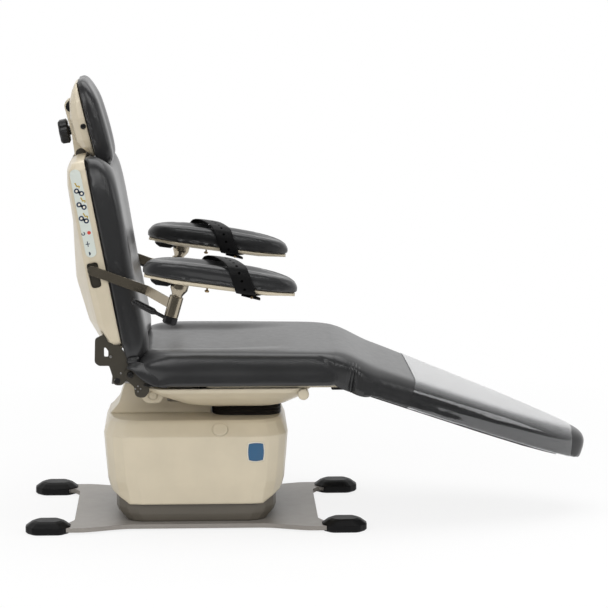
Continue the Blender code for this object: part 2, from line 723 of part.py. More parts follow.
# Seat
def seat_frame():
    wide, narrow = SEAT_HALF_WIDTH - 0.040, RAIL_OUTER + 0.004
    outline = rounded([(SEAT_FRONT - 0.021, wide, 0.01), (0.030, wide, 0.01), (0.030, narrow, 0.005),
                       (-0.100, narrow, 0.01), (-0.100, -narrow, 0.01), (0.030, -narrow, 0.005),
                       (0.030, -wide, 0.01), (SEAT_FRONT - 0.021, -wide, 0.01)], 2)
    flat = Matrix.Translation((0, 0, (BOARD_TOP + BOARD_BOTTOM) / 2))
    frame = add("seat_frame", plate_mesh([outline], BOARD_THICKNESS, flat), steel, "seat")
    top = BOARD_BOTTOM + 0.001
    rail = rounded([(-0.158, top, 0.010), (0.280, top, 0), (0.280, TILT_Z + 0.002, 0.006),
                    (TILT_X + 0.034, TILT_Z + 0.002, 0.01), (TILT_X + 0.020, TILT_Z - 0.022, 0.018),
                    (TILT_X - 0.020, TILT_Z - 0.022, 0.018), (-0.158, STUB_Z - 0.014, 0.010)])
    bore = circle(TILT_X, TILT_Z, TILT_SHAFT_RADIUS + PIN_GAP)
    ear = rounded([(SEAT_FRONT - 0.046, top, 0), (KNEE_X, KNEE_Z + KNEE_LOBE, KNEE_LOBE * 0.9),
                   (KNEE_X + KNEE_LOBE, KNEE_Z, KNEE_LOBE * 0.6), (KNEE_X, KNEE_Z - KNEE_LOBE, KNEE_LOBE * 0.9),
                   (SEAT_FRONT - 0.046, BOARD_BOTTOM - 0.012, 0)])
    eye = circle(KNEE_X, KNEE_Z, KNEE_PIN_RADIUS + PIN_GAP)
    rail_thickness = RAIL_OUTER - RAIL_INNER
    for sign in (1, -1):
        join(frame, plate_mesh([rail, bore], rail_thickness, side_frame(sign * (RAIL_INNER + RAIL_OUTER) / 2)))
        join(frame, plate_mesh([ear, eye], EAR_THICKNESS, side_frame(sign * (EAR_INNER + EAR_THICKNESS / 2))))
        ends = [(STUB_X, sign * y, STUB_Z) for y in (RAIL_INNER + 0.004, SEAT_PLATE_Y - HINGE_THICKNESS / 2 - GAP)]
        join(frame, rod_mesh(STUB_RADIUS, *ends, 12))
    reach = RAIL_OUTER + 0.002
    add("tilt_shaft", rod_mesh(TILT_SHAFT_RADIUS, (TILT_X, -reach, TILT_Z), (TILT_X, reach, TILT_Z), 24), steel, "seat")
    reach = EAR_INNER + 2 * EAR_THICKNESS + 0.006
    ends = [(KNEE_X, sign * reach, KNEE_Z) for sign in (-1, 1)]
    add("knee_pin", rod_mesh(KNEE_PIN_RADIUS, *ends), steel, "seat")


def pan_ring(depth, inset_rear, inset_front, inset_side, corner):
    rear, front = PAN_REAR + inset_rear, PAN_FRONT - inset_front
    rim = BOARD_BOTTOM - GAP
    return corner_ring((front - rear) / 2, PAN_HALF_WIDTH - inset_side, rim - depth, corner, (front + rear) / 2)


def seat_pan():
    rings = [pan_ring(0.0, 0.0, 0.0, 0.0, 0.050), pan_ring(0.012, 0.012, 0.014, 0.006, 0.050),
             pan_ring(0.5 * PAN_DEPTH, 0.046, 0.034, 0.036, 0.050),
             pan_ring(0.88 * PAN_DEPTH, 0.100, 0.072, 0.078, 0.050),
             pan_ring(PAN_DEPTH, 0.135, 0.096, 0.100, 0.045)]
    pan = thicken(add("seat_pan", loft_mesh(rings, (False, True)), cream, "seat", 30), PAN_WALL)
    rim = BOARD_BOTTOM - GAP
    boss_z = rim - BOSS_DROP
    for sign in (1, -1):
        start = (BOSS_X, sign * (PAN_HALF_WIDTH - 0.035), boss_z)
        join(pan, rod_mesh(BOSS_RADIUS, start, (BOSS_X, sign * (PAN_HALF_WIDTH + 0.002), boss_z)))
    wide = RAIL_OUTER + 0.006
    cut(pan, box_mesh((PAN_REAR - 0.05, -wide, rim - PAN_DEPTH - 0.05), (-0.055, wide, rim + 0.02)))
    bottom = rim - PAN_DEPTH
    cut(pan, rod_mesh(PUSH_HEAD_RADIUS + 0.008, (PUSH_X, 0, bottom - 0.02), (PUSH_X, 0, bottom + 0.02)))
    groove = drive_point(-0.060, 0.0)
    cut(pan, rod_mesh(DRIVE_ROD_RADIUS + 0.0015, drive_point(-0.16, 0), groove + (groove - drive_point(-0.16, 0)) * 0.2))


def seat_cushion():
    top = SEAT_TOP - SEAT_BOTTOM
    half = SEAT_HALF_WIDTH
    low = -CUSHION_SINK
    rings = [pad_ring(seat_place, SEAT_REAR - 0.010, half - 0.030, 0.048, 0.082, 0.003, 3.4),
             pad_ring(seat_place, SEAT_REAR + 0.006, half - 0.010, 0.030, top - 0.010, 0.008, 4.5),
             pad_ring(seat_place, SEAT_REAR + 0.040, half, low, top, SEAT_DISH, 5),
             pad_ring(seat_place, 0.040, half + 0.001, low, top + 0.002, SEAT_DISH, 5),
             pad_ring(seat_place, 0.220, half + 0.001, low, top - 0.001, SEAT_DISH, 5),
             pad_ring(seat_place, 0.330, half, low, top - 0.004, 0.7 * SEAT_DISH, 5),
             pad_ring(seat_place, SEAT_FRONT - 0.030, half - 0.002, 0.001, top - 0.018, 0.3 * SEAT_DISH, 5, lean=0.10),
             pad_ring(seat_place, SEAT_FRONT - 0.012, half - 0.008, 0.008, top - 0.030, 0, 5, lean=0.16)]
    cushion("seat_cushion", rings, vinyl, "seat")


# Back hinge plates, lever and drive
def drive_point(x, rise):
    """A point on the drive's line, which slopes down towards the front."""
    z = PIVOT_Z - DRIVE_DROP - math.tan(DRIVE_SLOPE) * (x - PIVOT_X)
    return Vector((x, -DRIVE_Y, z + rise))


def hinge_plates():
    lobe = 0.016
    lower_x, lower_z = -0.150, 0.3985
    seat_plate = rounded([(PIVOT_X - lobe, PIVOT_Z + lobe, lobe * 0.9), (PIVOT_X + lobe, PIVOT_Z + lobe, lobe * 0.9),
                          (-0.128, 0.4040, 0.004), (-0.128, 0.3955, 0.006), (lower_x + 0.010, 0.3800, 0.012),
                          (lower_x - 0.017, 0.3800, 0.015), (lower_x - 0.020, lower_z + 0.012, 0.010),
                          (PIVOT_X - lobe, PIVOT_Z - 0.012, 0.010)])
    eye = circle(PIVOT_X, PIVOT_Z, PIVOT_RADIUS + PIN_GAP)
    lever_x, lever_z = PIVOT_X + LEVER_X, PIVOT_Z + LEVER_Z
    reach = LEVER_END_RADIUS
    shell_side = [back_place(a, 0, n) for a, n in ((0.012, -0.006), (0.270, -0.014), (0.270, -0.048),
                                                   (0.195, -0.048), (0.050, -0.038))]
    top_edge = [(p.x, p.z, 0.006) for p in shell_side]
    back_plate = rounded([(PIVOT_X + lobe, PIVOT_Z - 0.004, 0.012), (PIVOT_X + 0.012, PIVOT_Z + 0.018, 0.010),
                          *top_edge, (-0.276, 0.545, 0.010), (-0.278, 0.478, 0.012), (-0.266, 0.4685, 0.010),
                          (-0.238, 0.4685, 0.004), (lever_x - reach, lever_z + 0.010, 0.010),
                          (lever_x - reach, lever_z - reach, reach * 0.98),
                          (lever_x + reach, lever_z - reach, reach * 0.98),
                          (PIVOT_X - lobe * 0.6, PIVOT_Z - lobe, 0.012)])
    window = rounded([(-0.2515, 0.527, 0.003), (-0.2400, 0.510, 0.003), (-0.2400, 0.494, 0.003),
                      (-0.2515, 0.494, 0.003)], 2)
    lever_eye = circle(lever_x, lever_z, LEVER_BOLT_RADIUS + PIN_GAP)
    arm_eye = circle(arm_pivot.x, arm_pivot.z, ARM_PIVOT_RADIUS + PIN_GAP)
    for side in SIDES:
        sign = SIDES[side]
        mesh = plate_mesh([seat_plate, eye], HINGE_THICKNESS, side_frame(sign * SEAT_PLATE_Y))
        add("seat_hinge_plate_" + side, mesh, bronze, "seat")
        mesh = plate_mesh([back_plate, eye, window, lever_eye, arm_eye], HINGE_THICKNESS,
                          side_frame(sign * BACK_PLATE_Y))
        add("back_hinge_plate_" + side, mesh, bronze, "back")
        outer = SEAT_PLATE_Y + HINGE_THICKNESS / 2 + GAP
        bolt = [(0, 0.004), (0.007, 0.004), (0.009, 0.002), (0.009, 0), (PIVOT_RADIUS, 0),
                (PIVOT_RADIUS, -0.020), (0, -0.020)]
        frame = side_turn(sign, PIVOT_X, outer, PIVOT_Z)
        add("back_pivot_bolt_" + side, turned_mesh(bolt, frame), steel, "seat")
    outer = BACK_PLATE_Y + HINGE_THICKNESS / 2
    inner = outer - (DRIVE_Y - FORK_THICKNESS / 2 - 0.002)
    pin = [(0, 0), (LEVER_BOLT_RADIUS, 0), (LEVER_BOLT_RADIUS, -HINGE_THICKNESS),
           (LEVER_PIN_RADIUS, -HINGE_THICKNESS), (LEVER_PIN_RADIUS, -inner), (0, -inner)]
    add("lever_pin", turned_mesh(pin, side_turn(-1, lever_x, outer, lever_z)), steel, "back")


def side_turn(sign, x, y, z):
    """A frame whose Z runs outwards across the chair at one side."""
    turn = Matrix.Rotation(-sign * math.pi / 2, 4, "X")
    return Matrix.Translation((x, sign * y, z)) @ turn


def back_drive():
    """A screw drive in the seat pan, whose open fork pushes the lever's pin."""
    lever_x = PIVOT_X + LEVER_X
    wide = LEVER_PIN_RADIUS + FORK_GAP
    tall = math.hypot(LEVER_X, LEVER_Z) - DRIVE_DROP + 0.002
    arm = 0.006
    centre = drive_point(lever_x - FORK_LAG, 0)
    roof = DRIVE_DROP + LEVER_Z + LEVER_PIN_RADIUS
    outline = rounded([(wide + arm, -tall, 0.002), (wide + arm, roof + arm, 0.004), (-wide - arm, roof + arm, 0.004),
                       (-wide - arm, -tall, 0.002), (-wide, -tall, 0), (-wide, roof, 0.003),
                       (wide, roof, 0.003), (wide, -tall, 0)], 2)
    turn = Matrix.Rotation(DRIVE_SLOPE, 4, "Y")
    frame = Matrix.Translation(centre) @ turn @ side_frame(0)
    fork = add("back_actuator_rod", plate_mesh([outline], FORK_THICKNESS, frame), steel, "drive_rod")
    tube_start, tube_end = drive_point(0.010, 0), drive_point(0.150, 0)
    near = centre + (tube_start - centre).normalized() * (wide + arm / 2)
    join(fork, rod_mesh(DRIVE_ROD_RADIUS, near, tube_start.lerp(tube_end, 0.45), 16))
    bore = DRIVE_ROD_RADIUS + PIN_GAP
    run = (tube_end - tube_start).length
    profile = [(0, -run + 0.01), (bore, -run + 0.01), (bore, 0), (DRIVE_TUBE_RADIUS - 0.002, 0),
               (DRIVE_TUBE_RADIUS, -0.002), (DRIVE_TUBE_RADIUS, -run), (0, -run)]
    quat = (tube_start - tube_end).to_track_quat("Z", "Y").to_matrix().to_4x4()
    tube = add("back_actuator", turned_mesh(profile, Matrix.Translation(tube_start) @ quat), black, "seat")
    lug = tube_start.lerp(tube_end, 0.75)
    crown = lug + Vector((0, 0, 0.5 * (bore + DRIVE_TUBE_RADIUS)))
    join(tube, box_mesh(crown - Vector((0.02, 0.008, 0)), (lug.x + 0.02, lug.y + 0.008, BOARD_BOTTOM - GAP)))


# Back rest
def shell_ring(along, half, side, centre, front):
    swell = centre - side
    right = [(half, front), (half, -0.62 * side), (half - 0.010, -0.90 * side),
             (half - 0.040, -side - 0.10 * swell), (0.52 * half, -side - 0.72 * swell)]
    points = right + [(0, -centre)] + [(-y, n) for y, n in reversed(right)]
    return [back_place(along, y, n) for y, n in points]


def back_shell():
    stations = [(0.0, 0.139, 0.337, -0.018), (0.049, 0.426, 0.673, -0.006), (0.152, 0.574, 0.871, 0.0),
                (0.357, 0.619, 1.0, 0.0), (0.5075, 0.609, 0.891, 0.0), (0.677, 0.594, 0.723, 0.0),
                (0.8835, 0.579, 0.634, 0.0), (0.955, 0.515, 0.564, -0.003), (0.9887, 0.376, 0.416, -0.010),
                (1.0, 0.218, 0.257, -0.018)]
    outer, inner = [], []
    wall = BACK_SHELL_WALL
    for share, side_share, centre_share, inset in stations:
        along = share * BACK_LENGTH
        side, centre = side_share * BACK_SHELL_DEPTH, centre_share * BACK_SHELL_DEPTH
        half = BACK_SHELL_HALF + inset
        outer.append(shell_ring(along, half, side, centre, 0.0))
        deep = max(side - wall, 0.004)
        here = wall + along * (BACK_LENGTH - 2 * wall) / BACK_LENGTH
        inner.append(shell_ring(here, half - wall, deep, max(centre - wall, deep), 0.03))
    inner[0] = [p + (q - p) * 0.12 for p, q in zip(inner[0], inner[1])]
    shell = add("back_shell", loft_mesh(outer), cream, "back", 35)
    cut(shell, loft_mesh(inner))
    sill = LOWER_JOINT_ALONG - LINK_LOWER_RADIUS - 0.009
    sky = BACK_LENGTH + 0.04
    rear = LOWER_JOINT_OUT - LINK_LOWER_RADIUS - 0.0063
    notch = [back_place(a, 0, n) for a, n in ((sill, 0.02), (sky, 0.02), (sky, rear), (sill, rear))]
    slot = LINK_HALF_WIDTH + JOINT_DISC_THICKNESS + 0.003
    cut(shell, plate_mesh([[Vector((p.x, p.z)) for p in notch]], 2 * slot, side_frame(0)))
    groove = rounded([(SLOT_HIGH, -0.018, 0.008), (SLOT_HIGH, -0.0495, 0.008), (SLOT_LOW, -0.0475, 0.008),
                      (SLOT_LOW, -0.020, 0.008)], 3)
    loop = [Vector((p.x, p.z)) for p in (back_place(a, 0, n) for a, n in groove)]
    for sign in (1, -1):
        cut(shell, plate_mesh([loop], 0.030, side_frame(sign * BACK_SHELL_HALF)))
    gate = [back_place(a, 0, n) for a, n in ((-0.03, 0.01), (0.060, 0.01), (0.060, -0.056), (-0.03, -0.056))]
    for sign in (1, -1):
        cut(shell, plate_mesh([[Vector((p.x, p.z)) for p in gate]], HINGE_THICKNESS + 0.004,
                              side_frame(sign * BACK_PLATE_Y)))
    return shell


def flat_frame(place, y, along, out):
    """A frame for a plate that lies along a leaning piece: across, up the piece, then outwards."""
    start = place(along, y, out)
    up = place(along + 1, y, out) - start
    front = place(along, y, out + 1) - start
    across = up.cross(front)
    return Matrix.Translation(start) @ Matrix((across, up, front)).transposed().to_4x4()


def back_board():
    half = BACK_PLATE_Y - HINGE_THICKNESS / 2 - GAP
    low, high = 0.022, BACK_LENGTH - 0.027
    outline = rounded([(half, high, 0.04), (-half, high, 0.04), (-half, low, 0.01), (half, low, 0.01)])
    frame = flat_frame(back_place, 0, 0, -BACK_BOARD_THICKNESS / 2 - GAP)
    add("back_board", plate_mesh([outline], BACK_BOARD_THICKNESS, frame), steel, "back")


def back_cushion():
    half, low, deep, high = BACK_CUSHION_HALF, GAP - CUSHION_SINK, BACK_CUSHION_DEPTH, BACK_LENGTH
    rings = [pad_ring(back_place, -0.052, half - 0.016, 0.002, 0.066, 0.0, 4, lean=0.72),
             pad_ring(back_place, -0.036, half - 0.004, 0.0005, 0.080, 0.0, 4, lean=0.62),
             pad_ring(back_place, 0.030, half, low, deep, 0.0, 3.4, lean=0.35),
             pad_ring(back_place, 0.110, half, low, deep, 0.0, 3.2, lean=0.15),
             pad_ring(back_place, 0.376 * high, half, low, deep - 0.006, 0.002, 3.6),
             pad_ring(back_place, 0.545 * high, half, low, deep - 0.003, 0.006, 5),
             pad_ring(back_place, 0.733 * high, half - 0.001, low, deep + 0.001, 0.008, 5, dip=0.004),
             pad_ring(back_place, 0.855 * high, half - 0.004, low, deep - 0.004, 0.008, 5, dip=0.020),
             pad_ring(back_place, 0.940 * high, half - 0.010, low, deep - 0.018, 0.006, 4, dip=0.046),
             pad_ring(back_place, 0.985 * high, half - 0.024, 0.002, deep - 0.036, 0.004, 3.4, dip=0.062),
             pad_ring(back_place, 0.998 * high, half - 0.040, 0.008, deep - 0.050, 0.002, 3, dip=0.067)]
    cushion("back_cushion", rings, vinyl, "back")


def control_panel():
    wide = PANEL_WIDTH / 2
    turn = wide * 0.95
    slot = rounded([(PANEL_HIGH, PANEL_OUT + wide, turn), (PANEL_HIGH, PANEL_OUT - wide, turn),
                    (PANEL_LOW, PANEL_OUT - wide, turn), (PANEL_LOW, PANEL_OUT + wide, turn)], 6)
    loop = [Vector((p.x, p.z)) for p in (back_place(a, 0, n) for a, n in slot)]
    frame = side_frame(-(BACK_SHELL_HALF + GAP + PANEL_THICKNESS / 2))
    add("control_panel", plate_mesh([loop], PANEL_THICKNESS, frame), membrane, "back")


# Leg rest
def leg_half(along):
    """The leg rest narrows to the feet and closes in a round end."""
    share = along / LEG_LENGTH
    turn = max(0.0, (share - LEG_ROUND_FROM) / (1 - LEG_ROUND_FROM))
    return LEG_HALF_WIDTH * (1 - LEG_TAPER * share) * math.sqrt(max(0.0, 1 - turn * turn))


def skin_mesh(pad, start, clearance):
    """The part of a cushion's skin beyond one station, lifted off it by a clearance."""
    graph = bpy.context.evaluated_depsgraph_get()
    mesh = bpy.data.meshes.new_from_object(pad.evaluated_get(graph))
    knee = leg_place(0, 0, 0)
    run = leg_place(1, 0, 0) - knee
    shape = bmesh.new()
    shape.from_mesh(mesh)
    spare = [point for point in shape.verts if (point.co - knee).dot(run) < start]
    bmesh.ops.delete(shape, geom=spare, context="VERTS")
    shape.normal_update()
    for point, normal in [(point, point.normal.copy()) for point in shape.verts]:
        point.co += normal * clearance
    shape.to_mesh(mesh)
    shape.free()
    return mesh


def leg_rest():
    low, high = LEG_LOW, LEG_LOW + LEG_THICKNESS
    rings = [pad_ring(leg_place, 0.016, LEG_HALF_WIDTH - 0.004, low + 0.008, high - 0.003, 0.002, 5, lean=-0.27)]
    for share in (0.06, 0.24, 0.46, 0.66, 0.80, 0.895, 0.955, 0.985):
        stop = share * LEG_LENGTH
        rings.append(pad_ring(leg_place, stop, leg_half(stop), low, high, 0.003, 5))
    pad = cushion("leg_cushion", rings, vinyl, "leg")
    sleeve = add("foot_cover", skin_mesh(pad, FOOT_COVER_START, FOOT_COVER_GAP), clear_vinyl, "leg", 180)
    thicken(sleeve, FOOT_COVER_WALL, 1)
    edge = 0.045
    stops = [share * LEG_LENGTH for share in (0.042, 0.28, 0.56, 0.74, 0.84, 0.90)]
    right = [(leg_half(stop) - edge, stop) for stop in stops]
    outline = [Vector(p) for p in right] + [Vector((-a, b)) for a, b in reversed(right)]
    out = LEG_LOW + LEG_BOARD_LIFT - FOOT_COVER_GAP - FOOT_COVER_WALL - GAP - LEG_BOARD_THICKNESS / 2
    flat = Matrix.Translation(leg_place(0, 0, out)) @ leg_turn()
    frame = add("leg_frame", plate_mesh([outline], LEG_BOARD_THICKNESS, flat), steel, "leg")
    eye_low = out + LEG_BOARD_THICKNESS / 2 - 0.001
    ear = rounded([(0.090, eye_low, 0), (0.010, eye_low + 0.006, 0.004), (0.004, KNEE_LOBE, KNEE_LOBE * 0.8),
                   (-KNEE_LOBE, KNEE_LOBE * 0.4, KNEE_LOBE * 0.6), (-KNEE_LOBE * 0.7, -KNEE_LOBE, KNEE_LOBE * 0.8),
                   (0.016, out - 0.002, 0.01), (0.090, out, 0)])
    loop = [Vector((p.x, p.z)) for p in (leg_place(a, 0, n) for a, n in ear)]
    eye = circle(KNEE_X, KNEE_Z, KNEE_PIN_RADIUS + PIN_GAP)
    middle = EAR_INNER + 1.5 * EAR_THICKNESS + GAP
    for sign in (1, -1):
        join(frame, plate_mesh([loop, eye], EAR_THICKNESS - 2 * GAP, side_frame(sign * middle)))


def leg_turn():
    """Across the leg rest, then along it, then out of it."""
    run = Vector((math.cos(LEG_DROOP), 0, -math.sin(LEG_DROOP)))
    rise = Vector((math.sin(LEG_DROOP), 0, math.cos(LEG_DROOP)))
    return Matrix((Vector((0, -1, 0)), run, rise)).transposed().to_4x4()


# Head rest
def head_bar():
    neck = LOWER_JOINT_ALONG - LINK_LOWER_RADIUS - 0.004
    outline = rounded([(HEAD_BAR_HALF, neck, 0.003), (TONGUE_HALF, neck, 0), (TONGUE_HALF, LOWER_JOINT_ALONG, 0),
                       (-TONGUE_HALF, LOWER_JOINT_ALONG, 0), (-TONGUE_HALF, neck, 0), (-HEAD_BAR_HALF, neck, 0.003),
                       (-HEAD_BAR_HALF, HEAD_BAR_BOTTOM, 0.004), (HEAD_BAR_HALF, HEAD_BAR_BOTTOM, 0.004)], 2)
    out = -BACK_BOARD_THICKNESS - 2 * GAP - HEAD_BAR_THICKNESS / 2
    bar = add("head_bar", plate_mesh([outline], HEAD_BAR_THICKNESS, flat_frame(back_place, 0, 0, out)), steel,
              "head_slide")
    ends = [lower_joint + Vector((0, sign * TONGUE_HALF, 0)) for sign in (-1, 1)]
    join(bar, rod_mesh(TONGUE_RADIUS, *ends, 24))
    ends = [lower_joint + Vector((0, sign * 0.03, 0)) for sign in (-1, 1)]
    cut(bar, rod_mesh(JOINT_PIN_RADIUS + PIN_GAP, *ends))


def joint_pin(name, centre, look, body, disc):
    face = LINK_HALF_WIDTH + GAP
    bead = JOINT_DISC_THICKNESS
    half = [(0, face + bead), (disc - 0.0015, face + bead), (disc, face + bead - 0.0015), (disc, face),
            (JOINT_PIN_RADIUS, face)]
    profile = half + [(r, -h) for r, h in reversed(half)]
    frame = Matrix.Translation(centre) @ Matrix.Rotation(math.pi / 2, 4, "X")
    add(name, turned_mesh(profile, frame, 14), look, body)


def head_link():
    low, high = LINK_LOWER_RADIUS, LINK_UPPER_RADIUS
    waist = LINK_WAIST
    shape = [(-low, low, low * 0.9), (-low, -low, low * 0.9), (0.45 * LINK_LENGTH, -waist, 0.05),
             (LINK_LENGTH + high, -high, high * 0.9), (LINK_LENGTH + high, high, high * 0.9),
             (0.45 * LINK_LENGTH, waist, 0.05)]
    points = [lower_joint + link_up * a + link_front * n for a, n in rounded(shape, 4)]
    holes = [circle(joint.x, joint.z, JOINT_PIN_RADIUS + PIN_GAP) for joint in (lower_joint, upper_joint)]
    mesh = plate_mesh([[Vector((p.x, p.z)) for p in points], *holes], 2 * LINK_HALF_WIDTH, side_frame(0))
    link = add("head_link", mesh, cream, "head_link")
    slot = TONGUE_HALF + GAP
    for joint in (lower_joint, upper_joint):
        ends = [joint + Vector((0, sign * slot, 0)) for sign in (-1, 1)]
        cut(link, rod_mesh(LINK_UPPER_RADIUS + 0.005, *ends, 24))
    joint_pin("head_lower_pin", lower_joint, bronze, "head_link", JOINT_DISC_RADIUS)
    joint_pin("head_upper_pin", upper_joint, black, "headrest", 0.0165)


def head_knob():
    """A lobed hand knob whose stem meets the back of the link."""
    frame = Matrix.Translation(knob_start) @ (-link_front).to_track_quat("Z", "Y").to_matrix().to_4x4()
    count = 5 * KNOB_LOBES

    def lobed(height, size):
        ring = []
        for n in range(count):
            turn = 2 * math.pi * n / count
            radius = size * (KNOB_RADIUS + KNOB_LOBE * math.cos(KNOB_LOBES * turn))
            ring.append(frame @ Vector((radius * math.cos(turn), radius * math.sin(turn), height)))
        return ring

    def plain(height, radius):
        turns = [2 * math.pi * n / count for n in range(count)]
        return [frame @ Vector((radius * math.cos(t), radius * math.sin(t), height)) for t in turns]

    top = KNOB_STEM + KNOB_THICKNESS
    rings = [plain(0, KNOB_STEM_RADIUS), plain(KNOB_STEM, KNOB_STEM_RADIUS), lobed(KNOB_STEM, 0.80),
             lobed(KNOB_STEM + 0.004, 1.0), lobed(top - 0.005, 0.98), lobed(top, 0.84)]
    add("head_knob", loft_mesh(rings), black, "knob")


def headrest():
    half = HEAD_SHELL_HALF

    def ring(along, inset, deep):
        wide = half - inset
        points = [(wide, -GAP), (wide, -0.45 * deep), (0.82 * wide, -0.85 * deep), (0.4 * wide, -deep)]
        points += [(-y, n) for y, n in reversed(points)]
        return [head_place(along, y, n) for y, n in points]

    deep = HEAD_SHELL_DEPTH
    rings = [ring(0.012, 0.034, 0.20 * deep), ring(0.024, 0.020, 0.40 * deep), ring(0.042, 0.008, 0.74 * deep),
             ring(0.064, 0.002, 0.95 * deep), ring(0.125, 0.0, deep), ring(0.170, 0.004, 0.78 * deep), ring(0.200, 0.012, 0.46 * deep),
             ring(0.219, 0.026, 0.16 * deep)]
    shell = add("headrest_shell", loft_mesh(rings), cream, "headrest", 35)
    wide = LINK_HALF_WIDTH + JOINT_DISC_THICKNESS + 0.002
    groove = [head_place(a, 0, n) for a, n in ((-0.05, -0.0145), (0.182, -0.0075), (0.182, -0.12), (-0.05, -0.12))]
    cut(shell, plate_mesh([[Vector((p.x, p.z)) for p in groove]], 2 * wide, side_frame(0)))
    joint = upper_joint
    root = [head_place(a, 0, -0.004) for a in (0.182, 0.142)]
    lobe = circle(joint.x, joint.z, TONGUE_RADIUS, 24)
    tongue = plate_mesh([lobe], 2 * TONGUE_HALF, side_frame(0))
    web = [Vector((joint.x, joint.z + 0.011)), Vector((joint.x, joint.z - 0.011)), Vector((root[1].x, root[1].z)),
           Vector((root[0].x, root[0].z))]
    join(shell, plate_mesh([web], 2 * TONGUE_HALF - 0.0004, side_frame(0)))
    join(shell, tongue)
    ends = [joint + Vector((0, sign * 0.03, 0)) for sign in (-1, 1)]
    cut(shell, rod_mesh(JOINT_PIN_RADIUS + PIN_GAP, *ends))
    wide, deep = HEAD_HALF_WIDTH, HEAD_DEPTH
    rings = [pad_ring(head_place, -0.020, wide - 0.034, 0.010, 0.030, 0.0, 3, 12),
             pad_ring(head_place, -0.014, wide - 0.014, 0.002, 0.044, 0.0, 3.6, 12),
             pad_ring(head_place, 0.012, wide - 0.001, 0.0, deep, 0.003, 4.4, 12),
             pad_ring(head_place, 0.070, wide, 0.0, deep, 0.006, 4.4, 12),
             pad_ring(head_place, 0.130, wide, 0.0, deep - 0.002, 0.006, 4.4, 12),
             pad_ring(head_place, 0.185, wide - 0.006, 0.0, deep - 0.012, 0.004, 4, 12),
             pad_ring(head_place, 0.216, wide - 0.020, 0.002, deep - 0.024, 0.002, 3.6, 12),
             pad_ring(head_place, 0.228, wide - 0.042, 0.006, deep - 0.036, 0.0, 3, 12)]
    cushion("headrest_cushion", rings, vinyl, "headrest")


# Armrests
def tube_frame(sign):
    return Matrix.Translation((TUBE_X, sign * TUBE_Y, TUBE_Z)) @ Matrix.Rotation(TUBE_LEAN, 4, "Y")


def arm_bar(side, sign):
    """A flat bar, bent outwards, with its pivot stub at one end and the post's tube at the other."""
    frame = Matrix.Translation((arm_pivot.x, 0, arm_pivot.z)) @ Matrix.Rotation(ARM_BAR_SLOPE, 4, "Y")
    to_bar = frame.inverted() @ Vector((TUBE_X, TUBE_Y, TUBE_Z))
    half = ARM_BAR_THICKNESS / 2
    tip = Vector((to_bar.x, TUBE_Y - 0.6 * TUBE_RADIUS))
    bend = Vector((ARM_BAR_BEND, ARM_BAR_Y))
    across = Vector((bend.y - tip.y, tip.x - bend.x)).normalized() * half
    turn = math.tan((tip - bend).angle(Vector((1, 0))) / 2) * half
    outline = [Vector((0, ARM_BAR_Y - half)), Vector((bend.x + turn, ARM_BAR_Y - half)), tip - across,
               tip + across, Vector((bend.x - turn, ARM_BAR_Y + half)), Vector((0, ARM_BAR_Y + half))]
    outline = [Vector((p.x, sign * p.y)) for p in outline]
    bar = add("arm_bar_" + side, plate_mesh([outline], ARM_BAR_WIDTH, frame), nickel, "arm_" + side, 30)
    eye = [Vector((arm_pivot.x, sign * (ARM_BAR_Y + step), arm_pivot.z)) for step in (-half, half)]
    join(bar, rod_mesh(ARM_BAR_WIDTH / 2, *eye, 20))
    stub = [Vector((arm_pivot.x, sign * y, arm_pivot.z)) for y in (BACK_PLATE_Y - HINGE_THICKNESS / 2, ARM_BAR_Y)]
    join(bar, rod_mesh(ARM_PIVOT_RADIUS, *stub))
    centre = tube_frame(sign)
    ends = [centre @ Vector((0, 0, step * TUBE_LENGTH / 2)) for step in (-1, 1)]
    join(bar, rod_mesh(TUBE_RADIUS, *ends, 20))
    ends = [centre @ Vector((0, 0, step * TUBE_LENGTH)) for step in (-1, 1)]
    cut(bar, rod_mesh(POST_RADIUS + PIN_GAP, *ends))


def arm_post(side, sign):
    half = TUBE_LENGTH / 2
    bottom = -half - COLLAR_HEIGHT
    profile = [(0, 0.080), (POST_TOP_RADIUS, 0.080), (POST_TOP_RADIUS, half + 0.020), (POST_NECK, half + 0.004),
               (POST_NECK, half + GAP), (POST_RADIUS, half + GAP), (POST_RADIUS, bottom), (0, bottom)]
    post = add("arm_post_" + side, turned_mesh(profile, tube_frame(sign)), nickel, "rest_" + side)
    low = -GAP
    slab = [rest_place(a, 0, n) for a, n in ((-0.3, low), (0.3, low), (0.3, 0.2), (-0.3, 0.2))]
    cut(post, plate_mesh([[Vector((p.x, p.z)) for p in slab]], 0.2, side_frame(sign * TUBE_Y)))


def arm_clamp(side, sign):
    top = -TUBE_LENGTH / 2 - GAP
    bore = POST_RADIUS + PIN_GAP
    low = top - COLLAR_HEIGHT
    profile = [(bore, top), (COLLAR_RADIUS - 0.002, top), (COLLAR_RADIUS, top - 0.002), (COLLAR_RADIUS, low + 0.003),
               (COLLAR_RADIUS - 0.004, low), (bore, low), (bore, top)]
    frame = tube_frame(sign)
    clamp = add("arm_clamp_" + side, turned_mesh(profile, frame), black, "clamp_" + side)
    start = 0.5 * (bore + COLLAR_RADIUS)
    neck = COLLAR_RADIUS + HANDLE_NECK
    end = neck + HANDLE_LENGTH
    thin = 0.55 * HANDLE_RADIUS
    grip = [(0, end), (0.6 * HANDLE_RADIUS, end - 0.001), (HANDLE_RADIUS, end - 0.006), (HANDLE_RADIUS, neck + 0.006),
            (thin, neck - 0.004), (thin, start), (0, start)]
    turn = Matrix.Rotation(-math.pi / 2 + HANDLE_RISE, 4, "Y")
    join(clamp, turned_mesh(grip, frame @ Matrix.Translation((0, 0, (top + low) / 2)) @ turn, 12))


def rest_half(share):
    """Half the armrest's width: full in the middle, rounded in towards its ends."""
    return REST_HALF_WIDTH * (1 - 0.58 * (max(0.0, abs(share - 0.02) - 0.40) / 0.60) ** 2)


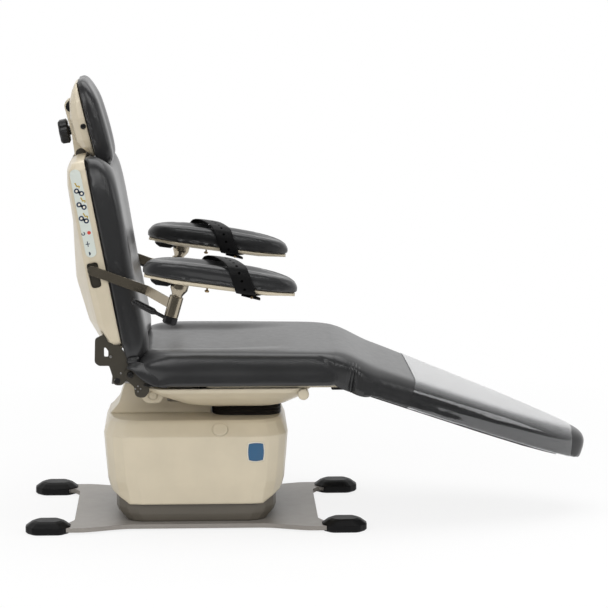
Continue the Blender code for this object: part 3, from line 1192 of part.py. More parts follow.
def armrest(side, sign):
    def place(along, y, out):
        return rest_place(along, sign * TUBE_Y + y, out)

    half = REST_LENGTH / 2
    pan = []
    shares = (-0.985, -0.90, -0.60, 0.0, 0.60, 0.90, 0.985)
    for share in shares:
        wide = rest_half(share) - 0.006
        rise = 0.006 * max(0.0, abs(share) - 0.62) / 0.38
        top = REST_PAN_THICKNESS
        pan.append([place(half * share, y, n) for y, n in
                    ((wide, top), (wide - 0.001, 0.4 * top), (wide - 0.008, rise), (-wide + 0.008, rise),
                     (-wide + 0.001, 0.4 * top), (-wide, top))])
    add("arm_pan_" + side, loft_mesh(pan), cream, "rest_" + side, 30)
    low = REST_PAN_THICKNESS + GAP
    rings = []
    for share, drop in ((-0.985, 0.034), (-0.93, 0.024), (-0.76, 0.009), (-0.48, 0.0), (0.20, 0.0),
                        (0.62, 0.008), (0.90, 0.024), (0.985, 0.036)):
        high = low + REST_THICKNESS - drop
        inset = 0.016 if abs(share) > 0.96 else 0.0
        rings.append(pad_ring(place, half * share, rest_half(share) - inset, low, high,
                              REST_DISH * (1 - abs(share)), 4.4, 12))
    cushion("arm_cushion_" + side, rings, vinyl, "rest_" + side)


def arm_strap(side, sign):
    """A flat band over the pad, fixed under both edges of the pan and laid across it at a slant."""
    wide = REST_HALF_WIDTH + 0.0035
    top = REST_PAN_THICKNESS + REST_THICKNESS
    points = [(-wide + 0.036, -GAP), (-wide + 0.013, -GAP), (-wide - 0.001, 0.006), (-wide, 0.5 * top)]
    steps = 8
    for step in range(steps + 1):
        turn = math.pi * (1 - step / steps)
        points.append((wide * math.cos(turn) * 1.0, top - 0.010 + (STRAP_RISE + 0.010) * math.sin(turn) ** 0.6))
    points += [(-y, n) for y, n in reversed(points[:4])]
    line = [Vector(p) for p in points]
    outer, inner = [], []
    for n, here in enumerate(line):
        run = (line[min(n + 1, len(line) - 1)] - line[max(n - 1, 0)]).normalized()
        side_step = Vector((-run.y, run.x)) * STRAP_THICKNESS
        inner.append(here)
        outer.append(here + side_step)
    loop = inner + list(reversed(outer))
    start = rest_place(STRAP_X - REST_X, sign * TUBE_Y, 0)
    run = Vector((math.cos(REST_SLOPE), 0, -math.sin(REST_SLOPE)))
    rise = Vector((math.sin(REST_SLOPE), 0, math.cos(REST_SLOPE)))
    across = Vector((STRAP_SKEW * run.x, 1, STRAP_SKEW * run.z))
    frame = Matrix.Translation(start) @ Matrix((across, rise, run)).transposed().to_4x4()
    add("arm_strap_" + side, plate_mesh([loop], STRAP_WIDTH, frame), rubber, "rest_" + side, 60)


base_plate()
foot_pads()
skirts()
columns()
power_unit()
base_cover()
access_cap()
carriage_deck()
tilt_pedestal()
rear_cowl()
tilt_drive()
seat_frame()
seat_pan()
seat_cushion()
hinge_plates()
back_drive()
back_shell()
back_board()
back_cushion()
control_panel()
leg_rest()
head_bar()
head_link()
head_knob()
headrest()
for side, sign in SIDES.items():
    arm_bar(side, sign)
    arm_post(side, sign)
    arm_clamp(side, sign)
    armrest(side, sign)
    arm_strap(side, sign)
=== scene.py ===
import json
import math
import bpy
import bmesh
import numpy as np
from mathutils import Matrix, Vector
from mathutils.bvhtree import BVHTree


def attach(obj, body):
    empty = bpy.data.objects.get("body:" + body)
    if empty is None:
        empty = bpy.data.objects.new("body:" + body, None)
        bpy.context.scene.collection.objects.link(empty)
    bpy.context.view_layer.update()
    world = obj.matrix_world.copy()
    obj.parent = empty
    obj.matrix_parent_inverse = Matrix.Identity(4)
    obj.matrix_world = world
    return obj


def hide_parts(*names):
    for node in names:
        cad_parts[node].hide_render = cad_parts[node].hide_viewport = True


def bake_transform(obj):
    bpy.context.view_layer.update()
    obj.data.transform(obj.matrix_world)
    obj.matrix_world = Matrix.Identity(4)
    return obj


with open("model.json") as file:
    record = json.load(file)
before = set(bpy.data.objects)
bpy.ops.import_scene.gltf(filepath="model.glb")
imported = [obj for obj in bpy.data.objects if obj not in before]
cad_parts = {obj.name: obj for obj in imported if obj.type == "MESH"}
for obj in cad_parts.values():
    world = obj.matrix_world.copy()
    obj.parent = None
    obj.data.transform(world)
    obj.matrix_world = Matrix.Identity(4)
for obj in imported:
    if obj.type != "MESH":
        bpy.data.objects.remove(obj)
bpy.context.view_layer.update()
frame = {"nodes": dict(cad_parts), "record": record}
nodes = frame["nodes"]
scene = bpy.context.scene
print("frame loaded,", len(nodes), "nodes")

# where the chair's own column stands in the row frame, and the start and turn of each leaning part
chair = {"columnX": -0.3203, "backStart": (-0.2016, 0.516), "backLean": 10.7,
         "headStart": (-0.27296, 1.02236), "headLean": 13.5, "knee": (0.432, 0.404), "legDroop": 20.8,
         "restStart": (0.065, 0.7075), "restSlope": 7.6, "restY": 0.375}
sides = {"right": -1, "left": 1}


def chairPoint(x, y, z):
    return Vector((x + chair["columnX"], y, z))


# a frame of its own for each upholstered part: along it, across, and away from it
def partFrame(start, run, rise):
    origin = np.array(chairPoint(start[0], 0, start[1]))
    return {"axes": np.array([run, (0, 1, 0), rise], float), "origin": origin}


def leaning(start, lean):
    turn = math.radians(lean)
    return partFrame(start, (-math.sin(turn), 0, math.cos(turn)), (math.cos(turn), 0, math.sin(turn)))


def sloping(start, slope):
    turn = math.radians(slope)
    return partFrame(start, (math.cos(turn), 0, -math.sin(turn)), (math.sin(turn), 0, math.cos(turn)))


places = {"seat": sloping((0, 0), 0), "back": leaning(chair["backStart"], chair["backLean"]),
          "head": leaning(chair["headStart"], chair["headLean"]),
          "leg": sloping(chair["knee"], chair["legDroop"]),
          "rest": sloping(chair["restStart"], chair["restSlope"])}


def spot(place, along, y, away):
    return Vector(np.array((along, y, away)) @ places[place]["axes"] + places[place]["origin"])


def heading(place, along, y, away):
    return Vector(np.array((along, y, away)) @ places[place]["axes"]).normalized()


def getLocal(piece, place):
    points = np.empty(len(piece.data.vertices) * 3)
    piece.data.vertices.foreach_get("co", points)
    return (points.reshape(-1, 3) - places[place]["origin"]) @ places[place]["axes"].T


def setLocal(piece, place, points):
    world = points @ places[place]["axes"] + places[place]["origin"]
    piece.data.vertices.foreach_set("co", world.ravel())
    piece.data.update()


# share of the way from start to stop, 0 before it and 1 after it
def climb(value, start, stop):
    return np.clip((value - start) / (stop - start), 0, 1)


# camera at the photograph's angle
camSet = {"place": (0.0125, -7.39555, 1.786), "down": 9.109, "toFeet": 2.299, "lens": 155.84}
camData = bpy.data.cameras.new("photoCamera")
camData.lens = camSet["lens"]
camData.sensor_width = 36
camData.clip_end = 60
camera = bpy.data.objects.new("photoCamera", camData)
scene.collection.objects.link(camera)
camera.location = chairPoint(*camSet["place"])
camera.rotation_euler = (math.radians(90 - camSet["down"]), 0, math.radians(-camSet["toFeet"]))
scene.camera = camera
scene.view_settings.view_transform = "Standard"
print("camera set")


# node helpers for the finishes
def freshMaterial(name):
    mat = bpy.data.materials.new(name)
    mat.use_nodes = True
    tree = mat.node_tree
    return mat, tree, tree.nodes["Principled BSDF"]


def setInputs(node, **values):
    for key, value in values.items():
        node.inputs[key.replace("_", " ")].default_value = value


def addNode(tree, kind, **values):
    node = tree.nodes.new(kind)
    for key, value in values.items():
        if hasattr(node, key):
            setattr(node, key, value)
        else:
            setInputs(node, **{key: value})
    return node


def objectPlace(tree, scale=(1, 1, 1)):
    coords = addNode(tree, "ShaderNodeTexCoord")
    stretch = addNode(tree, "ShaderNodeMapping", Scale=scale)
    tree.links.new(coords.outputs["Object"], stretch.inputs["Vector"])
    return stretch.outputs["Vector"]


def noise(tree, place, scale, detail=4.0, rough=0.55):
    node = addNode(tree, "ShaderNodeTexNoise", Scale=scale, Detail=detail, Roughness=rough)
    tree.links.new(place, node.inputs["Vector"])
    return node.outputs["Fac"]


def spread(tree, value, low, high, start=0.0, stop=1.0):
    node = addNode(tree, "ShaderNodeMapRange", From_Min=start, From_Max=stop, To_Min=low, To_Max=high)
    tree.links.new(value, node.inputs["Value"])
    return node.outputs["Result"]


def softEdges(tree, radius):
    return addNode(tree, "ShaderNodeBevel", samples=6, Radius=radius).outputs["Normal"]


def bump(tree, shader, height, strength, distance, under=None):
    node = addNode(tree, "ShaderNodeBump", Strength=strength, Distance=distance)
    tree.links.new(height, node.inputs["Height"])
    if under:
        tree.links.new(under, node.inputs["Normal"])
    tree.links.new(node.outputs["Normal"], shader.inputs["Normal"])
    return node.outputs["Normal"]


def tint(colour, share):
    return tuple(max(0.0, min(1.0, c * share)) for c in colour)


# the colour drifts between two shades of itself
def shaded(tree, shader, value, colour, shades, stops=(0.3, 0.7)):
    node = addNode(tree, "ShaderNodeValToRGB")
    for element, stop, shade in zip(node.color_ramp.elements, stops, shades):
        element.position, element.color = stop, (*tint(colour, shade), 1)
    tree.links.new(value, node.inputs["Fac"])
    tree.links.new(node.outputs["Color"], shader.inputs["Base Color"])


# moulded and painted finishes; edge is how far a corner looks rounded
rubber = {"grain": 700, "lift": 0.00008, "gloss": 0.15}
badgePaint = {"rough": (0.25, 0.35), "grain": 900, "lift": 0.00003, "coat": 0.4, "edge": 0.001}
signInk = {"rough": (0.35, 0.45), "grain": 1500, "lift": 0.00003, "coat": 0.2, "edge": 0.0004}
finishes = {
    "creamMoulding": {"colour": (0.60, 0.528, 0.395), "rough": (0.30, 0.44), "grain": 420, "lift": 0.00010,
                      "coat": 0.20, "edge": 0.008},
    "taupePaint": {"colour": (0.112, 0.098, 0.077), "rough": (0.42, 0.58), "grain": 900, "lift": 0.00012,
                   "coat": 0.10, "edge": 0.006},
    "platePaint": {"colour": (0.268, 0.247, 0.224), "rough": (0.34, 0.50), "grain": 900, "lift": 0.00012,
                   "coat": 0.15, "edge": 0.002},
    "blackPlastic": {"colour": (0.006, 0.006, 0.0065), "rough": (0.22, 0.34), "grain": 1100, "lift": 0.00006,
                     "edge": 0.003, "gloss": 0.35},
    "blackRubber": {"colour": (0.0050, 0.0050, 0.0053), "rough": (0.36, 0.52), "edge": 0.006, **rubber},
    # dark finish of the gaiter, which paints the shadow under the seat
    "paintedShadeGaiter": {"colour": (0.020, 0.017, 0.014), "rough": (0.50, 0.66), "edge": 0.002, **rubber},
    "blackSteel": {"colour": (0.008, 0.0078, 0.0075), "rough": (0.34, 0.48), "grain": 1300, "lift": 0.00006,
                   "edge": 0.001, "gloss": 0.35},
    "bronzePlate": {"colour": (0.044, 0.038, 0.027), "rough": (0.40, 0.58), "grain": 1500, "lift": 0.00008,
                    "edge": 0.0012, "gloss": 0.35},
    "panelMembrane": {"colour": (0.60, 0.64, 0.59), "rough": (0.35, 0.45), "grain": 1500, "lift": 0.00004,
                      "coat": 0.2, "edge": 0.001},
    "shadowBlack": {"colour": (0.0015, 0.0015, 0.0015), "rough": (0.6, 0.8), "grain": 500, "lift": 0.00005,
                    "edge": 0.001, "gloss": 0.0},
    "badgeBlue": {"colour": (0.010, 0.085, 0.190), **badgePaint},
    "badgeRim": {"colour": (0.74, 0.70, 0.60), **badgePaint},
    "signNavy": {"colour": (0.012, 0.028, 0.070), **signInk},
    "signOchre": {"colour": (0.46, 0.32, 0.035), **signInk},
    "signRed": {"colour": (0.62, 0.055, 0.035), **signInk},
}
mouldSet = {"cloud": 9, "shades": (0.95, 1.04), "scuffs": 38, "scuffStretch": (1, 1, 4), "grainBump": 0.5,
            "coatRough": 0.25}


def mouldedFinish(name):
    s, m = finishes[name], mouldSet
    mat, tree, shader = freshMaterial(name)
    place = objectPlace(tree)
    shaded(tree, shader, noise(tree, place, m["cloud"], 3), s["colour"], m["shades"])
    scuffs = noise(tree, objectPlace(tree, m["scuffStretch"]), m["scuffs"], 6, 0.62)
    tree.links.new(spread(tree, scuffs, *s["rough"]), shader.inputs["Roughness"])
    grain = noise(tree, place, s["grain"], 2)
    bump(tree, shader, grain, m["grainBump"], s["lift"], softEdges(tree, s["edge"]))
    setInputs(shader, Specular_IOR_Level=s.get("gloss", 0.5), Coat_Weight=s.get("coat", 0.0),
              Coat_Roughness=m["coatRough"])
    return mat


metals = {
    "satinNickel": {"colour": (0.40, 0.35, 0.27), "rough": (0.16, 0.26), "along": (260, 260, 9),
                    "edge": 0.0004},
    "zincSteel": {"colour": (0.36, 0.35, 0.34), "rough": (0.28, 0.45), "along": (60, 60, 60),
                  "edge": 0.0006},
    "brassStud": {"colour": (0.34, 0.25, 0.14), "rough": (0.22, 0.35), "along": (300, 300, 300),
                  "edge": 0.0008},
}
metalSet = {"brush": 6, "wear": 30, "shades": (0.94, 1.05), "stops": (0.32, 0.72),
            "brushBump": (0.25, 0.00006)}


def metalFinish(name):
    s, m = metals[name], metalSet
    mat, tree, shader = freshMaterial(name)
    brushed = noise(tree, objectPlace(tree, s["along"]), m["brush"], 6, 0.65)
    shaded(tree, shader, noise(tree, objectPlace(tree), m["wear"], 4), s["colour"], m["shades"], m["stops"])
    tree.links.new(spread(tree, brushed, *s["rough"]), shader.inputs["Roughness"])
    bump(tree, shader, brushed, *m["brushBump"], softEdges(tree, s["edge"]))
    setInputs(shader, Metallic=1.0)
    return mat


vinylSet = {"colour": (0.021, 0.0212, 0.022), "cloud": 7, "shades": (0.86, 1.12), "patches": 55,
            "rough": (0.25, 0.35), "creases": 60, "creaseBump": (0.010, 0.0004), "pores": 620,
            "poreBump": (0.018, 0.00016), "sheen": 0.05, "sheenRough": 0.4}


def vinylFinish():
    s = vinylSet
    mat, tree, shader = freshMaterial("charcoalVinyl")
    place = objectPlace(tree)
    pore = addNode(tree, "ShaderNodeTexVoronoi", feature="SMOOTH_F1", Scale=s["pores"])
    tree.links.new(place, pore.inputs["Vector"])
    shaded(tree, shader, noise(tree, place, s["cloud"], 3), s["colour"], s["shades"])
    tree.links.new(spread(tree, noise(tree, place, s["patches"], 4), *s["rough"]), shader.inputs["Roughness"])
    slack = bump(tree, shader, noise(tree, place, s["creases"], 3), *s["creaseBump"])
    bump(tree, shader, pore.outputs["Distance"], *s["poreBump"], slack)
    setInputs(shader, Specular_IOR_Level=0.5, Sheen_Weight=s["sheen"], Sheen_Roughness=s["sheenRough"])
    return mat


coverSet = {"colour": (0.97, 0.98, 0.99), "haze": 26, "rough": (0.03, 0.09), "waves": 16,
            "waveBump": (0.14, 0.0016), "coat": 0.4, "coatRough": 0.06, "bend": 1.5}


def clearFinish():
    s = coverSet
    mat, tree, shader = freshMaterial("clearVinyl")
    place = objectPlace(tree)
    tree.links.new(spread(tree, noise(tree, place, s["haze"], 3), *s["rough"]), shader.inputs["Roughness"])
    bump(tree, shader, noise(tree, place, s["waves"], 2), *s["waveBump"])
    setInputs(shader, Base_Color=(*s["colour"], 1), Transmission_Weight=1.0, Coat_Weight=s["coat"],
              Coat_Roughness=s["coatRough"])
    shader.inputs["IOR"].default_value = s["bend"]
    return mat


mats = {name: mouldedFinish(name) for name in finishes}
mats.update({name: metalFinish(name) for name in metals})
mats["charcoalVinyl"] = vinylFinish()
mats["clearVinyl"] = clearFinish()
print("finishes made,", len(mats))

# which finish each CAD node takes, by its slot or by its own name
slotFinish = {"cream_moulding": "creamMoulding", "taupe_paint": "taupePaint",
              "dark_bronze_plate": "bronzePlate", "charcoal_vinyl": "charcoalVinyl",
              "clear_vinyl": "clearVinyl", "zinc_steel": "zincSteel", "satin_nickel": "satinNickel",
              "black_plastic": "blackPlastic", "black_rubber": "blackRubber",
              "panel_membrane": "panelMembrane"}
nodeFinish = {"base_plate": "platePaint", "seat_frame": "creamMoulding", "leg_frame": "blackSteel",
              "knee_pin": "blackSteel", "tilt_shaft": "creamMoulding", "lever_pin": "blackSteel",
              "back_pivot_bolt_right": "blackSteel", "back_pivot_bolt_left": "blackSteel"}
for part in frame["record"]["subparts"]:
    finish = nodeFinish.get(part["node"], slotFinish[part["material_slot"]])
    nodes[part["node"]].data.materials.clear()
    nodes[part["node"]].data.materials.append(mats[finish])
print("CAD nodes painted")


# helpers for new pieces
def meshFrom(shape, outward=True):
    if outward:
        bmesh.ops.recalc_face_normals(shape, faces=shape.faces)
    mesh = bpy.data.meshes.new("piece")
    shape.to_mesh(mesh)
    shape.free()
    return mesh


def smoothOver(piece, angle):
    piece.data.shade_smooth()
    piece.data.set_sharp_from_angle(angle=math.radians(angle))


def dress(piece, finish, smooth=40):
    piece.data.materials.clear()
    piece.data.materials.append(mats[finish])
    smoothOver(piece, smooth)


def newPiece(name, mesh, finish, body=None, smooth=40):
    mesh.name = name
    piece = bpy.data.objects.new(name, mesh)
    scene.collection.objects.link(piece)
    dress(piece, finish, smooth)
    if body:
        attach(piece, body)
    return piece


def applyAll(piece):
    old = piece.data
    graph = bpy.context.evaluated_depsgraph_get()
    piece.data = bpy.data.meshes.new_from_object(piece.evaluated_get(graph))
    piece.modifiers.clear()
    bpy.data.meshes.remove(old)


def thicken(piece, thickness, offset=1):
    wall = piece.modifiers.new("wall", "SOLIDIFY")
    wall.thickness = thickness
    wall.offset = offset
    applyAll(piece)


def calm(piece, turns):
    ease = piece.modifiers.new("ease", "SMOOTH")
    ease.factor = 0.5
    ease.iterations = turns
    applyAll(piece)


def evenOut(piece, size):
    even = piece.modifiers.new("even", "REMESH")
    even.mode = "VOXEL"
    even.voxel_size = size
    applyAll(piece)


def gridMesh(rows):
    shape = bmesh.new()
    points = [[shape.verts.new(p) for p in row] for row in rows]
    for low, high in zip(points, points[1:]):
        for n in range(len(low) - 1):
            shape.faces.new((low[n], low[n + 1], high[n + 1], high[n]))
    return meshFrom(shape, False)


# closed rings joined into a tube with flat ends
def tubeMesh(rings):
    shape = bmesh.new()
    loops = [[shape.verts.new(p) for p in ring] for ring in rings]
    for low, high in zip(loops, loops[1:]):
        for n in range(len(low)):
            after = (n + 1) % len(low)
            shape.faces.new((low[n], low[after], high[after], high[n]))
    shape.faces.new(loops[0])
    shape.faces.new(reversed(loops[-1]))
    return meshFrom(shape)


# a turned shape from its (radius, height) profile
def turnedMesh(point, normal, profile, count=20):
    shape = bmesh.new()
    line = [shape.verts.new((r, 0, h)) for r, h in profile]
    edges = [shape.edges.new(pair) for pair in zip(line, line[1:])]
    bmesh.ops.spin(shape, geom=line + edges, cent=(0, 0, 0), axis=(0, 0, 1), angle=2 * math.pi, steps=count,
                   use_merge=True)
    bmesh.ops.remove_doubles(shape, verts=shape.verts, dist=1e-6)
    turn = Vector(normal).to_track_quat("Z", "Y").to_matrix().to_4x4()
    bmesh.ops.transform(shape, matrix=Matrix.Translation(point) @ turn, verts=shape.verts)
    return meshFrom(shape)


# flat outlines of (along, away), carried from near to far across the chair
def prismMesh(place, outlines, near, far):
    shape = bmesh.new()
    for outline in outlines:
        ends = [[shape.verts.new(spot(place, a, y, n)) for a, n in outline] for y in (near, far)]
        shape.faces.new(ends[0])
        shape.faces.new(reversed(ends[1]))
        for n in range(len(outline)):
            after = (n + 1) % len(outline)
            shape.faces.new((ends[0][n], ends[1][n], ends[1][after], ends[0][after]))
    return meshFrom(shape)


def skinOf(*pieces):
    points, faces = [], []
    for piece in pieces:
        first = len(points)
        points += [v.co.copy() for v in piece.data.vertices]
        faces += [[first + n for n in face.vertices] for face in piece.data.polygons]
    return BVHTree.FromPolygons(points, faces)


# padded pieces: the CAD form, remeshed, swollen as cloth, squared towards its board and calmed
armPad = {"place": "rest", "voxel": 0.0044, "cap": 0.0050, "pressure": 3.5, "low": 0.0113, "mid": 0.036,
          "tips": (0.85, 1.0), "upper": 0.70}
cushions = {
    "seatPad": {"node": "seat_cushion", "body": "seat", "place": "seat", "voxel": 0.0066, "cap": 0.0060,
                "pressure": 3.5, "low": 0.4124, "mid": 0.462, "rear": (-0.16, -0.04), "upper": 0.62},
    "backPad": {"node": "back_cushion", "body": "back", "place": "back", "voxel": 0.0066, "cap": 0.0060,
                "pressure": 3.5, "low": 0.002, "mid": 0.046, "rear": (-0.05, 0.0), "upper": 0.45},
    "legPad": {"node": "leg_cushion", "body": "leg", "place": "leg", "voxel": 0.0066, "cap": 0.0050,
               "pressure": 3.0, "low": -0.001, "mid": 0.030, "upper": 0.20},
    "headPad": {"node": "headrest_cushion", "body": "headrest", "place": "head", "voxel": 0.0044,
                "cap": 0.0040, "pressure": 2.5, "low": 0.0, "mid": 0.030, "upper": 0.75},
    "armPadRight": {"node": "arm_cushion_right", "body": "rest_right", **armPad},
    "armPadLeft": {"node": "arm_cushion_left", "body": "rest_left", **armPad},
}
padSet = {"fill": 0.8, "trimFill": 0.5, "firstCalm": 36, "shortCalm": 3, "lastCalm": 26, "clothSteps": 14}
clothSet = {"quality": 4, "mass": 0.3, "tension_stiffness": 25, "compression_stiffness": 25,
            "bending_stiffness": 3, "use_pressure": True}
squareSet = {"power": 4.0, "most": 0.985, "over": 0.93, "steps": 180, "rows": 40, "crest": 0.90,
             "least": 0.004, "thinnest": 0.001}


def swell(piece, s):
    start = [v.co.copy() for v in piece.data.vertices]
    cloth = piece.modifiers.new("cloth", "CLOTH")
    for key, value in clothSet.items():
        setattr(cloth.settings, key, value)
    cloth.settings.uniform_pressure_force = s["pressure"]
    cloth.settings.effector_weights.gravity = 0
    cloth.collision_settings.use_collision = False
    cloth.collision_settings.use_self_collision = False
    for step in range(padSet["clothSteps"]):
        scene.frame_set(step + 1)
    applyAll(piece)
    scene.frame_set(1)
    for point, first in zip(piece.data.vertices, start):
        move = point.co - first
        if move.length > s["cap"]:
            point.co = first + move * (s["cap"] / move.length)


# the lower half of a pad takes its widest outline, so its edge meets the board or shell
def squareOff(points, s):
    q = squareSet
    steps, rows = q["steps"], q["rows"]
    along, y, away = points.T
    middleA, middleY = (along.min() + along.max()) / 2, (y.min() + y.max()) / 2
    reach = np.hypot(along - middleA, y - middleY)
    angle = np.arctan2(y - middleY, along - middleA)
    widest = np.zeros(steps)
    bins = np.floor((angle + math.pi) / (2 * math.pi) * steps).astype(int) % steps
    np.maximum.at(widest, bins, reach)
    widest = np.mean([np.roll(widest, n) for n in (-2, -1, 0, 1, 2)], axis=0)
    centres = (np.arange(steps) + 0.5) / steps * 2 * math.pi - math.pi
    outline = np.interp(angle, centres, widest, period=2 * math.pi)
    row = np.minimum(((along - along.min()) / np.ptp(along) * rows).astype(int), rows - 1)
    crests = np.full(rows, s["low"] + q["least"])
    np.maximum.at(crests, row, away)
    stations = along.min() + (np.arange(rows) + 0.5) / rows * np.ptp(along)
    deep = np.interp(along, stations, crests) - s["low"]
    mid = np.minimum(s["mid"], s["low"] + 0.5 * deep)
    under = np.clip((mid - away) / (mid - s["low"]), 0, q["most"])
    crest = np.maximum(s["low"] + q["crest"] * deep - mid, q["thinnest"])
    over = np.clip((away - mid) / crest, 0, q["over"])
    depth = np.maximum(under, over)
    wanted = np.minimum(outline, reach * (1 - depth ** q["power"]) ** (-1 / q["power"]))
    share = np.ones(len(reach))
    if "rear" in s:
        share = climb(along, *s["rear"])
    if "tips" in s:
        tip = np.abs(along - middleA) / np.abs(along - middleA).max()
        share = climb(tip, s["tips"][1], s["tips"][0])
    share = share * np.where(over > 0, s["upper"], 1.0)
    grow = 1 + (wanted / np.maximum(reach, 1e-6) - 1) * share
    points[:, 0] = middleA + (along - middleA) * grow
    points[:, 1] = middleY + (y - middleY) * grow
    return points


# smoothing draws a pad in, so it goes back to the box of its CAD form
def fullSize(points, s):
    form = getLocal(nodes[s["node"]], s["place"])
    low, high = form.min(axis=0), form.max(axis=0)
    now, top = points.min(axis=0), points.max(axis=0)
    return low + (points - now) * (high - low) / (top - now)


# a groove along a line, deepest on it
def groove(points, line, depth, wide):
    gap = np.full(len(points), 9.0)
    for a, b in zip(line, line[1:]):
        a, b = np.array(a), np.array(b)
        t = np.clip(((points - a) @ (b - a)) / ((b - a) @ (b - a)), 0, 1)
        gap = np.minimum(gap, np.linalg.norm(points - a - t[:, None] * (b - a), axis=1))
    return depth * np.clip(1 - gap / wide, 0, 1) ** 1.5


# arm pads: thin pointed ends and a trough between two soft rims
armShape = {"from": 0.58, "thin": 0.10, "thinPower": 1.7, "long": 1.028, "tall": 1.12, "trough": 0.013,
            "troughWide": 0.030, "upper": 0.030, "fold": 0.0032, "foldWide": 0.011,
            "folds": [[(-0.188, 0.010), (-0.155, 0.030), (-0.118, 0.041)],
                      [(0.186, 0.010), (0.150, 0.029), (0.112, 0.041)]]}


def pointArms(points, s):
    a = armShape
    along, y, away = points.T
    y = y - (y.min() + y.max()) / 2
    tip = np.abs(along) / np.abs(along).max()
    thin = 1 - a["thin"] * climb(tip, a["from"], 1) ** a["thinPower"]
    lift = (away - s["low"]) * a["tall"]
    upper = climb(lift, 0, a["upper"])
    dip = a["trough"] * np.exp(-(y / a["troughWide"]) ** 2) * (1 - tip ** 2) * upper
    for line in a["folds"]:
        dip += groove(np.column_stack((along, np.abs(y))), line, a["fold"], a["foldWide"]) * upper
    points[:, 0] *= a["long"]
    points[:, 2] = s["low"] + lift * thin - dip
    return points


# foot end: its face stands upright and its top corner is rounded over
toeShape = {"near": (0.54, 0.69), "reach": 0.012, "flare": 0.022, "upright": 0.08, "mid": 0.034,
            "round": 0.672, "drop": 7.0, "upper": (0.02, 0.07)}


def shapeToe(points, s):
    t = toeShape
    along, away = points[:, 0].copy(), points[:, 2].copy()
    near = climb(along, *t["near"])
    over = np.clip(along - t["round"], 0, 1)
    points[:, 0] += t["reach"] * near ** 2 - (away - t["mid"]) * t["upright"] * near
    points[:, 1] *= 1 + t["flare"] * np.clip((t["mid"] - away) / t["mid"], -1, 1)
    points[:, 2] -= t["drop"] * over ** 2 * climb(away, *t["upper"])
    return points


# back pad: its upper rear corners rise to the shell's top, its lower ones come down to the fold
backCorner = {"rise": 0.011, "top": (0.47, 0.52), "rear": (0.05, 0.0), "beside": (0.13, 0.18),
              "foot": (0.05, -0.05), "draw": 0.016}


def raiseCorners(points, s):
    c = backCorner
    along, y, away = points.T
    beside = climb(np.abs(y), *c["beside"])
    raised = c["rise"] * climb(along, *c["top"]) * climb(away, *c["rear"])
    points[:, 0] += (raised - c["draw"] * climb(along, *c["foot"])) * beside
    return points


# seat: a shallow dish between its two side rolls
dishSet = {"depth": 0.011, "across": (0.222, 0.150), "front": (0.27, 0.10), "rear": (-0.16, -0.10),
           "upper": (0.47, 0.50)}


def dishSeat(points, s):
    d = dishSet
    along, y, away = points.T
    across = climb(np.abs(y), *d["across"])
    inside = climb(along, *d["front"]) * climb(along, *d["rear"]) * climb(away, *d["upper"])
    points[:, 2] -= d["depth"] * across * across * (3 - 2 * across) * inside
    return points


# head and back pads: raised side rolls, a hollow between them, and a shadow gap at the shell
rollsSet = {"head": {"crest": 0.094, "wide": 0.030, "raise": 0.003, "hollow": 0.008, "inside": 0.060,
                     "gap": 0.0014, "from": 0.030, "over": 0.025, "flat": 0.97, "tipLong": 0.075,
                     "tip": 0.26},
            "back": {"crest": 0.212, "wide": 0.040, "raise": 0.0, "hollow": 0.010, "inside": 0.150,
                     "gap": 0.0, "from": 0.045, "over": 0.035, "flat": 0.93, "tipLong": 0.04, "tip": 0.0}}


def sideRolls(points, s):
    r = rollsSet[s["place"]]
    along, y = points[:, 0], np.abs(points[:, 1])
    tip = climb(along, along.max() - r["tipLong"], along.max())
    away = points[:, 2] * r["flat"] * (1 - r["tip"] * tip ** 1.5)
    lift = r["raise"] * np.exp(-((y - r["crest"]) / r["wide"]) ** 2)
    lift -= r["hollow"] * np.exp(-(y / r["inside"]) ** 4)
    lift *= climb(away, r["from"], r["from"] + r["over"])
    points[:, 2] = away + lift + r["gap"] * (1 - climb(away, 0, r["from"]))
    return points


shapers = {"armPadRight": [pointArms], "armPadLeft": [pointArms], "legPad": [shapeToe],
           "backPad": [sideRolls, raiseCorners], "headPad": [sideRolls], "seatPad": [dishSeat]}

# sewn lines and folds: (along, away) down both sides, pressed in
seams = {
    "seat": {"depth": 0.0030, "wide": 0.009, "line": [(0.3420, 0.4950), (0.3540, 0.4860), (0.368, 0.4716),
                                                      (0.3791, 0.4492), (0.3847, 0.4130)]},
    "back": {"depth": 0.0030, "wide": 0.011, "line": [(0.236, 0.030), (0.205, 0.040), (0.192, 0.060),
                                                      (0.200, 0.082)]},
    "leg": {"depth": 0.0020, "wide": 0.008, "line": [(0.659, 0.080), (0.670, 0.040), (0.683, -0.006)]},
}
seamBeside = (0.45, 0.75)  # share of the half width over which a seam fades in


def pressSeam(points, s):
    m = seams[s["place"]]
    y = np.abs(points[:, 1])
    press = groove(points[:, (0, 2)], m["line"], m["depth"], m["wide"])
    points[:, 1] -= np.sign(points[:, 1]) * press * climb(y / y.max(), *seamBeside)
    return points


def reshape(piece, s, shaper):
    setLocal(piece, s["place"], shaper(getLocal(piece, s["place"]), s))


def padFromNode(name):
    s, p = cushions[name], padSet
    piece = bpy.data.objects.new(name, nodes[s["node"]].data.copy())
    scene.collection.objects.link(piece)
    evenOut(piece, s["voxel"])
    calm(piece, p["firstCalm"])
    swell(piece, s)
    reshape(piece, s, squareOff)
    calm(piece, p["shortCalm"])
    evenOut(piece, s["voxel"])
    calm(piece, p["lastCalm"])
    for shaper in (fullSize, *shapers[name]):
        reshape(piece, s, shaper)
    calm(piece, p["shortCalm"])
    if s["place"] in seams:
        reshape(piece, s, pressSeam)
    fine = piece.modifiers.new("fine", "SUBSURF")
    fine.levels = 1
    fine.render_levels = 1
    applyAll(piece)
    dress(piece, "charcoalVinyl", 180)
    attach(piece, s["body"])
    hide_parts(s["node"])
    print(name, len(piece.data.vertices), "points")
    return piece


